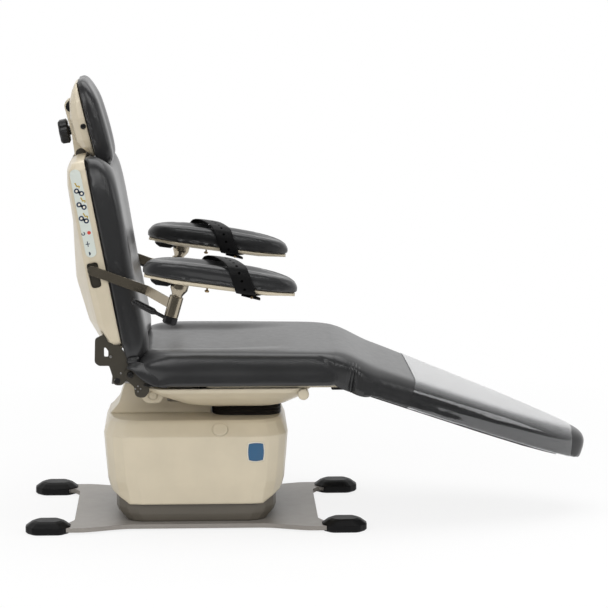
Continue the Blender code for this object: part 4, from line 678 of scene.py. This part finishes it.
pads = {name: padFromNode(name) for name in cushions}
legSkin = skinOf(pads["legPad"])
seatSkin = skinOf(pads["seatPad"])
skinSet = {"inset": 0.06, "far": 0.5, "widest": 1.0, "missed": 0.05}


# a point on a pad's skin, found from inside it
def onSkin(skin, place, along, y, away, half, mid, lift):
    inside = max(-half + skinSet["inset"], min(half - skinSet["inset"], y))
    ray = heading(place, 0, y - inside, away - mid)
    point = skin.ray_cast(spot(place, along, inside, mid), ray, skinSet["far"])[0]
    if point is None:
        point = spot(place, along, y, away)
    return point + ray * lift


def sideReach(skin, place, along, mid):
    hit = skin.ray_cast(spot(place, along, 0, mid), Vector((0, -1, 0)), skinSet["widest"])
    return hit[3] if hit[0] else skinSet["missed"]


# from one lower edge over the top to the other
def beltTargets(low, high, rise, count):
    climbing = [low + (high - low) * n / rise for n in range(rise)]
    over = [(-1.0 + 2.0 * n / count, high) for n in range(count + 1)]
    falling = [high - (high - low) * (n + 1) / rise for n in range(rise)]
    return [(-1.0, away) for away in climbing] + over + [(1.0, away) for away in falling]


def lineLength(points):
    return sum((b - a).length for a, b in zip(points, points[1:]))


# a sheet laid over its rows of points
def sheetFrom(name, rows, finish, body, thickness, standsFor=None):
    piece = newPiece(name, gridMesh(rows), finish, body, 180)
    thicken(piece, thickness)
    smoothOver(piece, 50)
    if standsFor:
        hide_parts(standsFor)
    return piece


# clear vinyl sheet over the foot end
footCoverSet = {"start": (0.1645, 0.1540), "stop": (0.658, 0.680), "low": -0.0005, "mid": 0.036,
                "high": 0.078, "lift": 0.0020, "thickness": 0.0006, "rows": 70, "cells": (18, 60)}


def footCover():
    s = footCoverSet
    targets = beltTargets(s["low"], s["high"], *s["cells"])
    rows = []
    for n in range(s["rows"] + 1):
        row = []
        for y, away in targets:
            begin = s["start"][0] + (s["start"][1] - s["start"][0]) * (y + 1) / 2
            up = (away - s["low"]) / (s["high"] - s["low"])
            end = s["stop"][1] + (s["stop"][0] - s["stop"][1]) * up
            along = begin + (end - begin) * n / s["rows"]
            half = sideReach(legSkin, "leg", along, s["mid"])
            row.append(onSkin(legSkin, "leg", along, y * half, away, half, s["mid"], s["lift"]))
        rows.append(row)
    sheetFrom("footCover", rows, "clearVinyl", "leg", s["thickness"], "foot_cover")


footCover()

# vinyl strip that carries the seat's top and sides over the knee
kneeSet = {"seatAt": 0.384, "legAt": 0.056, "step": 0.018, "seatRange": (0.408, 0.462, 0.512),
           "legRange": (-0.001, 0.038, 0.082), "lift": 0.0003, "thickness": 0.0005, "rows": 44,
           "cells": (10, 48), "pinch": 0.009, "pleat": 0.0030, "pleatWide": 0.12, "pleatAt": 0.44,
           "pleatTurns": 1.6, "pleatTop": 0.25, "hang": 0.015, "hangPower": 0.7, "bendFrom": (0.022, 0.46),
           "bendTo": (0.034, 0.038)}


def beltRow(skin, place, along, low, mid, high):
    s = kneeSet
    half = sideReach(skin, place, along, mid)
    targets = beltTargets(low, high, *s["cells"])
    return [onSkin(skin, place, along, y * half, away, half, mid, s["lift"]) for y, away in targets]


def kneeStrip():
    s = kneeSet
    seat = [beltRow(seatSkin, "seat", s["seatAt"] - back, *s["seatRange"]) for back in (s["step"], 0)]
    leg = [beltRow(legSkin, "leg", s["legAt"] + on, *s["legRange"]) for on in (0, s["step"])]
    count = len(seat[0])
    rows = []
    for n in range(s["rows"] + 1):
        t = n / s["rows"]
        row = []
        for k in range(count):
            a, b = seat[1][k], leg[0][k]
            span = (b - a).length
            fromSeat = (a - seat[0][k]).normalized() * span
            intoLeg = (leg[1][k] - b).normalized() * span
            point = (a * (2 * t ** 3 - 3 * t ** 2 + 1) + fromSeat * (t ** 3 - 2 * t ** 2 + t)
                     + b * (3 * t ** 2 - 2 * t ** 3) + intoLeg * (t ** 3 - t ** 2))
            lowness = 1 - min(k, count - 1 - k) / s["cells"][0]
            if lowness > 0:
                off = (t - s["pleatAt"]) / s["pleatWide"]
                fold = math.exp(-off * off)
                waves = math.sin(2 * math.pi * off * s["pleatTurns"]) * fold
                inward = s["pinch"] * fold * lowness
                inward += s["pleat"] * waves * (s["pleatTop"] + lowness * (1 - s["pleatTop"]))
                point.y += inward if point.y < 0 else -inward
                point.z -= s["hang"] * math.sin(math.pi * t) ** s["hangPower"] * lowness ** 3
            row.append(point)
        rows.append(row)
    piece = sheetFrom("kneeStrip", rows, "charcoalVinyl", None, s["thickness"])
    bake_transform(piece)


kneeStrip()

# soft roll that fills the fold between seat and back, behind the hinge plates
rollSet = {"centre": (-0.172, 0.470), "reach": 0.030, "clear": 0.0008, "half": 0.2345, "lip": 0.258,
           "lipRise": 0.0160, "lipReach": 0.0240, "lipOver": 0.012, "stations": 44, "count": 48,
           "endLong": 0.02, "endSize": 0.25, "ripple": 0.10, "ripples": (5, 9), "rippleFrom": 0.2,
           "least": 0.002, "far": 0.2, "calm": 4, "bendFrom": (0.012, -0.012), "bendTo": (-0.012, 0.020)}


def hingeRoll():
    s = rollSet
    x, z = s["centre"]
    skin = skinOf(pads["seatPad"], pads["backPad"])
    rings = []
    for n in range(s["stations"] + 1):
        y = -s["lip"] + 2 * s["lip"] * n / s["stations"]
        ends = min(1.0, (s["lip"] - abs(y)) / s["endLong"])
        size = s["endSize"] + (1 - s["endSize"]) * math.sqrt(max(0.0, 1 - (1 - ends) ** 2))
        # over the hinge plates
        beyond = min(1.0, max(0.0, (abs(y) - s["half"] + s["lipOver"]) / s["lipOver"]))
        start = chairPoint(x, y, z + s["lipRise"] * beyond)
        most = s["reach"] + (s["lipReach"] - s["reach"]) * beyond
        ring = []
        for k in range(s["count"]):
            turn = 2 * math.pi * k / s["count"]
            ray = Vector((math.cos(turn), 0, math.sin(turn)))
            hit = skin.ray_cast(start, ray, s["far"])
            reach = min(most, (hit[3] if hit[0] else 1.0) - s["clear"])
            wave = math.sin(s["ripples"][0] * turn + s["ripples"][1] * abs(y))
            ripple = 1 + s["ripple"] * wave * min(1.0, abs(y) / s["rippleFrom"])
            ring.append(start + ray * max(s["least"], reach * size * min(1.0, ripple)))
        rings.append(ring)
    piece = newPiece("hingeRoll", tubeMesh(rings), "charcoalVinyl", None, 180)
    calm(piece, s["calm"])
    start = chairPoint(x + s["bendFrom"][0], 0, z + s["bendFrom"][1])
    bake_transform(piece)


hingeRoll()
print("roll made")


def smoothLine(points, each):
    line = []
    for n in range(len(points) - 1):
        p0, p1, p2, p3 = (Vector(points[max(0, min(len(points) - 1, n + k))]) for k in (-1, 0, 1, 2))
        for step in range(each):
            t = step / each
            line.append(0.5 * (2 * p1 + (p2 - p0) * t + (2 * p0 - 5 * p1 + 4 * p2 - p3) * t ** 2
                               + (3 * p1 - p0 - 3 * p2 + p3) * t ** 3))
    return line + [Vector(points[-1])]


def lineRun(line, n):
    return (line[min(n + 1, len(line) - 1)] - line[max(n - 1, 0)]).normalized()


# gusset of the seat's cover over the rear hinge corner: (x, z) along its lower and upper edges
flapSet = {"low": [(-0.190, 0.4640), (-0.172, 0.4580), (-0.158, 0.4440), (-0.142, 0.4310), (-0.116, 0.4180),
                   (-0.080, 0.4126)],
           "high": [(-0.186, 0.4740), (-0.168, 0.4830), (-0.148, 0.4800), (-0.126, 0.4680), (-0.098, 0.4570),
                    (-0.062, 0.4500)],
           "near": 0.2560, "far": 0.2790, "power": 0.8, "lean": 0.010, "bulge": 0.006,
           "bulgeFrom": (0.2, 0.15), "thickness": 0.004, "each": 6, "cells": 12, "fold": 0.0016,
           "folds": (9.0, 3.0)}


def hingeFlap(side, sign):
    s = flapSet
    low, high = smoothLine(s["low"], s["each"]), smoothLine(s["high"], s["each"])
    upFrom, alongFrom = s["bulgeFrom"]
    rows = []
    for n, (a, b) in enumerate(zip(low, high)):
        t = n / (len(low) - 1)
        full = math.sin(math.pi * min(1.0, t + alongFrom))
        row = []
        for k in range(s["cells"] + 1):
            u = k / s["cells"]
            here = a + (b - a) * u
            out = s["near"] + (s["far"] - s["near"]) * t ** s["power"] - s["lean"] * u * (1 - t)
            out += s["bulge"] * math.sin(math.pi * min(1.0, u * (1 - upFrom) + upFrom)) * full
            out += s["fold"] * math.sin(s["folds"][0] * t + s["folds"][1] * u)
            row.append(chairPoint(here[0], sign * out, here[1]))
        rows.append(row[::sign])
    piece = newPiece("hingeFlap" + side.title(), gridMesh(rows), "charcoalVinyl", None, 180)
    thicken(piece, s["thickness"], -1)
    dress(piece, "charcoalVinyl", 180)
    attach(piece, "seat")


# punched belts over the arm pads, laid at a slant: path is (across, away) round the pad
strapSet = {"at": {"right": 0.010, "left": -0.024}, "slant": 0.48, "half": 0.0275, "thick": 0.0025,
            "each": 6, "holes": 7, "holeGap": 0.020, "holeStart": 0.046, "holeSides": 16,
            "holeProfile": [(0, 0.00025), (0.00288, 0.00025), (0.0036, 0.0001), (0.0036, -0.0004),
                            (0, -0.0004)],
            "path": [(-0.034, -0.0006), (-0.056, -0.0006), (-0.0695, 0.004), (-0.0715, 0.034),
                     (-0.0690, 0.057), (-0.056, 0.0705), (-0.027, 0.0760), (0.003, 0.0780), (0.030, 0.0765),
                     (0.050, 0.0722), (0.0650, 0.0645), (0.0708, 0.046), (0.0695, 0.010), (0.060, -0.0006),
                     (0.038, -0.0006)]}
ribbonSet = {"cells": 6, "edge": 0.62}  # edge: how thick a belt is at its sides


# a belt with a crowned face, from rows of its middle, its half width and its outward way
def ribbonMesh(rows, thick):
    rings = []
    for centre, across, out in rows:
        steps = [2 * n / ribbonSet["cells"] - 1 for n in range(ribbonSet["cells"] + 1)]
        crowns = [thick * (ribbonSet["edge"] + (1 - ribbonSet["edge"]) * (1 - t ** 4)) for t in steps]
        top = [centre + across * t + out * crown for t, crown in zip(steps, crowns)]
        rings.append(top + [centre + across * t for t in reversed(steps)])
    return tubeMesh(rings)


def armStrap(side, sign):
    s, body = strapSet, "rest_" + side
    line = smoothLine(s["path"], s["each"])
    lengths = [lineLength(line[:n + 1]) for n in range(len(line))]
    rows = []
    for n, here in enumerate(line):
        run = lineRun(line, n)
        along = s["at"][side] - s["slant"] * (lengths[n] - lengths[-1] / 2)
        centre = spot("rest", along, sign * chair["restY"] + here[0], here[1])
        rows.append((centre, heading("rest", 1, 0, 0) * s["half"], heading("rest", 0, -run[1], run[0])))
    belt = ribbonMesh(rows, s["thick"])
    piece = newPiece("armStrap" + side.title(), belt, "blackRubber", body, 60)
    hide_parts("arm_strap_" + side)
    # flat black discs, painted shade in place of the dark seen through the punched holes
    for hole in range(s["holes"]):
        want = s["holeStart"] + s["holeGap"] * hole
        centre, across, out = rows[min(range(len(lengths)), key=lambda k: abs(lengths[k] - want))]
        mesh = turnedMesh(centre + out * s["thick"], out, s["holeProfile"], s["holeSides"])
        newPiece("strapHole%s%d" % (side.title(), hole), mesh, "shadowBlack", body)


# loose end of each belt, with its stud, and the screw under the arm pan
tailSet = {"points": [(0.060, -0.0040), (0.076, -0.0060), (0.094, -0.0085), (0.112, -0.0120)], "y": -0.050,
           "half": 0.017, "taper": 0.45, "twist": 0.16, "thick": 0.0025, "stud": (0.088, -0.067, -0.0075),
           "screw": (-0.031, 0.0), "each": 5,
           "studProfile": [(0, 0.0022), (0.0026, 0.0020), (0.0036, 0.0010), (0.0040, -0.002), (0, -0.002)],
           "screwProfile": [(0, -0.0002), (0.0026, -0.0002), (0.0026, 0.012), (0.0058, 0.0135),
                            (0.0066, 0.0155), (0.0050, 0.0185), (0, 0.0195)]}


def strapTail(side, sign):
    s, body = tailSet, "rest_" + side
    line = smoothLine(s["points"], s["each"])
    y = sign * chair["restY"]
    shift = strapSet["at"][side] - strapSet["at"]["right"]
    rows = []
    for n, here in enumerate(line):
        run = lineRun(line, n)
        half = s["half"] * (1 - s["taper"] * (n / (len(line) - 1)) ** 3)
        centre = spot("rest", here[0] + shift, y + s["y"], here[1])
        rows.append((centre, Vector((0, -half, -half * s["twist"])), heading("rest", -run[1], 0, run[0])))
    newPiece("strapTail" + side.title(), ribbonMesh(rows, s["thick"]), "blackRubber", body, 60)
    a, across, n = s["stud"]
    stud = turnedMesh(spot("rest", a + shift, y + across, n), (0, -1, 0), s["studProfile"])
    newPiece("strapStud" + side.title(), stud, "brassStud", body)
    a, across = s["screw"]
    screw = turnedMesh(spot("rest", a, y + across, 0), heading("rest", 0, 0, -1), s["screwProfile"])
    newPiece("panScrew" + side.title(), screw, "brassStud", body)


# folded steel bracket under the rear of each arm pan
bracketSet = {"half": 0.021, "outline": [(-0.186, -0.0006), (-0.128, -0.0006), (-0.124, -0.004),
                                         (-0.138, -0.013), (-0.170, -0.013), (-0.182, -0.006)]}


def panBracket(side, sign):
    s = bracketSet
    y = sign * chair["restY"]
    mesh = prismMesh("rest", [s["outline"]], y - s["half"], y + s["half"])
    newPiece("panBracket" + side.title(), mesh, "blackPlastic", "rest_" + side, 30)


# polished sleeves round each arm's tube and post, up their leaning axis: (radius, height)
sleeveSet = {"centre": (-0.0568, 0.6555), "lean": 16.0, "count": 56,
             "tube": [(0.0180, -0.0278), (0.0184, -0.0280), (0.0190, -0.0274), (0.0190, 0.0274),
                      (0.0184, 0.0280), (0.0180, 0.0278), (0.0180, -0.0278)],
             "post": [(0.0140, 0.0292), (0.0149, 0.0292), (0.0149, 0.0318), (0.0158, 0.0350),
                      (0.0178, 0.0395), (0.0205, 0.0438), (0.0228, 0.0474), (0.0239, 0.0505),
                      (0.0240, 0.0540), (0.0240, 0.0638), (0.0140, 0.0638), (0.0140, 0.0292)]}


def armSleeves(side, sign):
    s = sleeveSet
    turn = math.radians(s["lean"])
    axis = Vector((math.sin(turn), 0, math.cos(turn)))
    centre = chairPoint(s["centre"][0], sign * chair["restY"], s["centre"][1])
    for part, body in (("tube", "arm_"), ("post", "rest_")):
        mesh = turnedMesh(centre, axis, s[part], s["count"])
        newPiece(part + "Sleeve" + side.title(), mesh, "satinNickel", body + side, 35)


for side, sign in sides.items():
    hingeFlap(side, sign)
    armStrap(side, sign)
    strapTail(side, sign)
    panBracket(side, sign)
    armSleeves(side, sign)
print("straps, brackets and sleeves made")

# plain badge plate on the cover's side, with its rim
badgeSet = {"x": (0.1416, 0.1916), "z": (0.190, 0.2475), "corner": 0.42, "rim": 0.0030, "rimLift": 0.0006,
            "faceLift": 0.0014, "thick": 0.0006, "cells": 16, "castFrom": -0.4, "coverY": -0.224}
coverSkin = skinOf(nodes["base_cover"])


def badgePlate(name, inset, lift, finish):
    s = badgeSet
    middle = (sum(s["x"]) / 2, sum(s["z"]) / 2)
    half = ((s["x"][1] - s["x"][0]) / 2 - inset, (s["z"][1] - s["z"][0]) / 2 - inset)
    rows = []
    for i in range(s["cells"] + 1):
        row = []
        for j in range(s["cells"] + 1):
            u, v = 2 * j / s["cells"] - 1, 2 * i / s["cells"] - 1
            x = middle[0] + half[0] * u * math.sqrt(1 - s["corner"] * 0.5 * v * v)
            z = middle[1] + half[1] * v * math.sqrt(1 - s["corner"] * 0.5 * u * u)
            hit = coverSkin.ray_cast(chairPoint(x, s["castFrom"], z), Vector((0, 1, 0)), -s["castFrom"])
            row.append(chairPoint(x, (hit[0].y if hit[0] else s["coverY"]) - lift, z))
        rows.append(row)
    thicken(newPiece(name, gridMesh(rows), finish, "carriage", 30), s["thick"])


badgePlate("badgeRim", 0.0, badgeSet["rimLift"], "badgeRim")
badgePlate("badgeFace", badgeSet["rim"], badgeSet["faceLift"], "badgeBlue")

# key marks on the back's membrane panel: (along, away), plain shapes; bars are (long, wide, turn)
panelSet = {"near": -0.25660, "far": -0.25690, "over": -0.25715, "lap": 0.00002,
            "keys": [(0.4493, -0.0290), (0.4113, -0.0298), (0.3733, -0.0311)], "key": 0.0072,
            "keyCentre": 0.46, "lobe": (0.0046, 0.0060), "keyBar": (0.0085, 0.0066, -52),
            "chairs": [(0.4682, -0.0309), (0.4263, -0.0233), (0.3833, -0.0251)],
            "chairBars": [((0.004, -0.003), (0.0090, 0.0032, -20)), ((-0.002, 0.001), (0.0034, 0.0075, 0)),
                          ((-0.005, 0.005), (0.0065, 0.0030, 20))],
            "swirl": (0.3357, -0.0405), "swirlSize": (0.0052, 0.0028), "stop": (0.3354, -0.0245),
            "cross": (0.3054, -0.0340), "crossBars": [(0.0150, 0.0022, 0), (0.0022, 0.0110, 0)],
            "halfDot": (0.2789, -0.0359), "dot": 0.0050}


def ringLine(centre, radius, start=0.0, turn=360.0, count=20):
    steps = [math.radians(start + turn * n / count) for n in range(count + (turn < 360))]
    return [(centre[0] + radius * math.cos(t), centre[1] + radius * math.sin(t)) for t in steps]


def bar(centre, long, wide, turn):
    c, s = math.cos(math.radians(turn)), math.sin(math.radians(turn))
    corners = ((-long, -wide), (long, -wide), (long, wide), (-long, wide))
    return [(centre[0] + (u * c - v * s) / 2, centre[1] + (u * s + v * c) / 2) for u, v in corners]


def panelMarks():
    s = panelSet
    navy, pale, ochre = [], [], []
    for a, n in s["keys"]:
        for way in (-1, 1):
            centre = (a - s["lobe"][0] * way, n + s["lobe"][1] * way)
            navy.append(ringLine(centre, s["key"]))
            pale.append(ringLine(centre, s["key"] * s["keyCentre"]))
        navy.append(bar((a, n), *s["keyBar"]))
    outer, inner = s["swirlSize"]
    navy.append(ringLine(s["swirl"], outer, 20, 280, 18) + ringLine(s["swirl"], inner, 300, -280, 18))
    navy += [bar(s["cross"], *size) for size in s["crossBars"]]
    navy.append(ringLine(s["halfDot"], s["dot"], 0, 180, 12))
    for a, n in s["chairs"]:
        ochre += [bar((a + da, n + dn), *size) for (da, dn), size in s["chairBars"]]
    red = [ringLine(s["stop"], s["dot"])]
    marks = {"panelKeys": (navy, s["near"], s["far"], "signNavy"),
             "panelKeyCentres": (pale, s["far"] - s["lap"], s["over"], "badgeRim"),
             "panelChairs": (ochre, s["near"], s["far"], "signOchre"),
             "panelStop": (red, s["near"], s["far"], "signRed")}
    for name, (outlines, near, far, finish) in marks.items():
        newPiece(name, prismMesh("back", outlines, near, far), finish, "back")


panelMarks()

# small screws, pins and buttons, on both sides: point on the chair, size, finish and body
screwSpots = [(-0.159, 0.4125), (-0.1665, 0.405), (-0.1515, 0.405), (-0.159, 0.3975)]
hingeScrew = {"size": 0.0026, "finish": "zincSteel", "body": "seat"}
fasteners = {"hingeScrew%d" % (n + 1): {"at": (x, -0.2478, z), **hingeScrew}
             for n, (x, z) in enumerate(screwSpots)}
fasteners.update({
    "pivotHead": {"at": (-0.180, -0.2521, 0.4452), "size": 0.0088, "finish": "blackSteel", "body": "seat"},
    "platePin": {"at": (-0.2335, -0.2415, 0.4945), "size": 0.0040, "finish": "zincSteel", "body": "back"},
    "stopPin": {"at": (-0.2060, -0.2415, 0.4480), "size": 0.0030, "finish": "zincSteel", "body": "back"},
    "shellButton": {"at": (-0.306, -0.1180, 1.119), "size": 0.0080, "finish": "blackPlastic",
                    "body": "headrest"},
})
headShape = [(0, 0.30), (0.42, 0.30), (0.5, 0.62), (0.8, 0.5), (1, 0.12)]  # in shares of the size
headSunk = -0.0003


def fastener(name, s, flip):
    size = s["size"]
    profile = [(size * r, size * h) for r, h in headShape] + [(size, headSunk), (0, headSunk)]
    x, y, z = s["at"]
    mesh = turnedMesh(chairPoint(x, y * flip, z), (0, -flip, 0), profile)
    newPiece(name, mesh, s["finish"], s["body"])


for name, s in fasteners.items():
    fastener(name + "Right", s, 1)
    fastener(name + "Left", s, -1)

# black caps over the two knee lugs under the seat's front edge: (x, z)
lugSet = {"outline": [(0.377, 0.3935), (0.380, 0.3912), (0.416, 0.3912), (0.418, 0.3930), (0.418, 0.4046),
                      (0.377, 0.4046)], "near": 0.1985, "far": 0.2135}
for side, sign in sides.items():
    mesh = prismMesh("seat", [lugSet["outline"]], sign * lugSet["near"], sign * lugSet["far"])
    newPiece("lugCap" + side.title(), mesh, "blackPlastic", "seat", 30)

# dark pleated gaiter between the base cover and the tub: a painted shadow for the shade that falls under the
# seat
shadeGaiterSet = {"x": (0.046, 0.242), "half": 0.110, "low": 0.2999, "clear": 0.0006, "pleat": 0.0050, "pleats": 3,
             "depth": 0.005, "points": 40, "square": 0.4}


def shadeGaiterRing(inset, z):
    s = shadeGaiterSet
    wide, deep = (s["x"][1] - s["x"][0]) / 2 - inset, s["half"] - inset
    ring = []
    for n in range(s["points"]):
        turn = 2 * math.pi * n / s["points"]
        c, d = math.cos(turn), math.sin(turn)
        x = sum(s["x"]) / 2 + wide * math.copysign(abs(c) ** s["square"], c)
        ring.append(chairPoint(x, deep * math.copysign(abs(d) ** s["square"], d), z))
    return ring


# the dark gaiter is painted shade, filling the shadowed gap under the seat
def shadeGaiter():
    s = shadeGaiterSet
    folds = s["pleats"] * 2
    heights = [s["low"] + s["clear"] + s["pleat"] * n for n in range(folds + 1)]
    rings = [shadeGaiterRing(s["depth"] * (n % 2), z) for n, z in enumerate(heights)]
    piece = newPiece("shadeGaiter", tubeMesh(rings), "paintedShadeGaiter", None, 20)
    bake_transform(piece)


shadeGaiter()
print("small pieces made")


def combine(tree, operation, a, b):
    node = addNode(tree, "ShaderNodeMath", operation=operation)
    tree.links.new(a, node.inputs[0])
    tree.links.new(b, node.inputs[1])
    return node.outputs[0]


def mixShader(tree, share, under, over):
    node = addNode(tree, "ShaderNodeMixShader")
    for n, link in enumerate((share, under, over)):
        tree.links.new(link, node.inputs[n])
    return node.outputs[0]


# floor: lit near the chair, fading to the white backdrop
stageSet = {"corners": ((-14, -1.6), (14, -1.6), (14, 14), (-14, 14)), "floor": (0.86, 0.86, 0.86, 1),
            "rough": 0.9, "drop": -0.0005, "near": 0.9, "far": 2.2, "share": 0.82, "white": (1, 1, 1, 1)}
shape = bmesh.new()
shape.faces.new([shape.verts.new((x, y, 0)) for x, y in stageSet["corners"]])
floor = bpy.data.objects.new("studioFloor", meshFrom(shape))
scene.collection.objects.link(floor)
floor.location.z = stageSet["drop"]
floorMat, tree, shader = freshMaterial("paleFloor")
setInputs(shader, Base_Color=stageSet["floor"], Roughness=stageSet["rough"], Specular_IOR_Level=0.0)
glow = addNode(tree, "ShaderNodeEmission", Color=stageSet["white"], Strength=1.0)
coords = addNode(tree, "ShaderNodeTexCoord")
distance = addNode(tree, "ShaderNodeVectorMath", operation="LENGTH")
tree.links.new(coords.outputs["Object"], distance.inputs[0])
fade = spread(tree, distance.outputs["Value"], stageSet["share"], 1.0, stageSet["near"], stageSet["far"])
rays = addNode(tree, "ShaderNodeLightPath").outputs
backdrop = combine(tree, "MAXIMUM", rays["Is Camera Ray"], rays["Is Glossy Ray"])
backdrop = combine(tree, "MAXIMUM", backdrop, rays["Is Transmission Ray"])
surface = mixShader(tree, combine(tree, "MULTIPLY", fade, backdrop), shader.outputs[0], glow.outputs[0])
tree.links.new(surface, tree.nodes["Material Output"].inputs["Surface"])
floor.data.materials.append(floorMat)

# studio light: a soft room, white to the camera, dimmer behind it in reflections
worldSet = {"soft": 0.62, "behind": 0.13, "fade": (-0.5, 0.25), "white": (1, 1, 1, 1)}
world = bpy.data.worlds.new("studio")
scene.world = world
world.use_nodes = True
tree = world.node_tree
tree.nodes.clear()
out = addNode(tree, "ShaderNodeOutputWorld")
soft, plain, mirrored = (addNode(tree, "ShaderNodeBackground", Color=worldSet["white"], Strength=strength)
                         for strength in (worldSet["soft"], 1.0, 1.0))
where = addNode(tree, "ShaderNodeTexCoord")
parts = addNode(tree, "ShaderNodeSeparateXYZ")
tree.links.new(where.outputs["Generated"], parts.inputs[0])
behind = spread(tree, parts.outputs["Y"], worldSet["behind"], 1.0, *worldSet["fade"])
tree.links.new(behind, mirrored.inputs["Strength"])
rays = addNode(tree, "ShaderNodeLightPath").outputs
light = mixShader(tree, rays["Is Glossy Ray"], soft.outputs[0], mirrored.outputs[0])
light = mixShader(tree, rays["Is Transmission Ray"], light, mirrored.outputs[0])
light = mixShader(tree, rays["Is Camera Ray"], light, plain.outputs[0])
tree.links.new(light, out.inputs["Surface"])

lamps = {
    "overhead": {"place": (0.0, 0.1, 3.4), "aim": (0.0, 0, 0.4), "size": (3.2, 2.4), "power": 60},
    "cameraSide": {"place": (-1.6, -3.6, 2.4), "aim": (0, 0, 0.5), "size": (2.4, 1.8), "power": 40},
    "sideStripLow": {"place": (0.75, -4.0, 1.78), "aim": (0.5, 0, 0.4), "size": (1.7, 0.09), "power": 7},
    "sideStripHigh": {"place": (0.75, -4.0, 2.75), "aim": (0.5, 0, 0.4), "size": (1.9, 0.14), "power": 8},
    "feetSide": {"place": (3.2, -1.6, 1.8), "aim": (0.2, 0, 0.5), "size": (1.6, 1.6), "power": 14},
}
for name, s in lamps.items():
    data = bpy.data.lights.new(name, "AREA")
    data.shape = "RECTANGLE"
    data.size, data.size_y = s["size"]
    data.energy = s["power"]
    lamp = bpy.data.objects.new(name, data)
    scene.collection.objects.link(lamp)
    lamp.location = s["place"]
    lamp.rotation_euler = (Vector(s["aim"]) - Vector(s["place"])).to_track_quat("-Z", "Y").to_euler()
print("stage and lamps set")
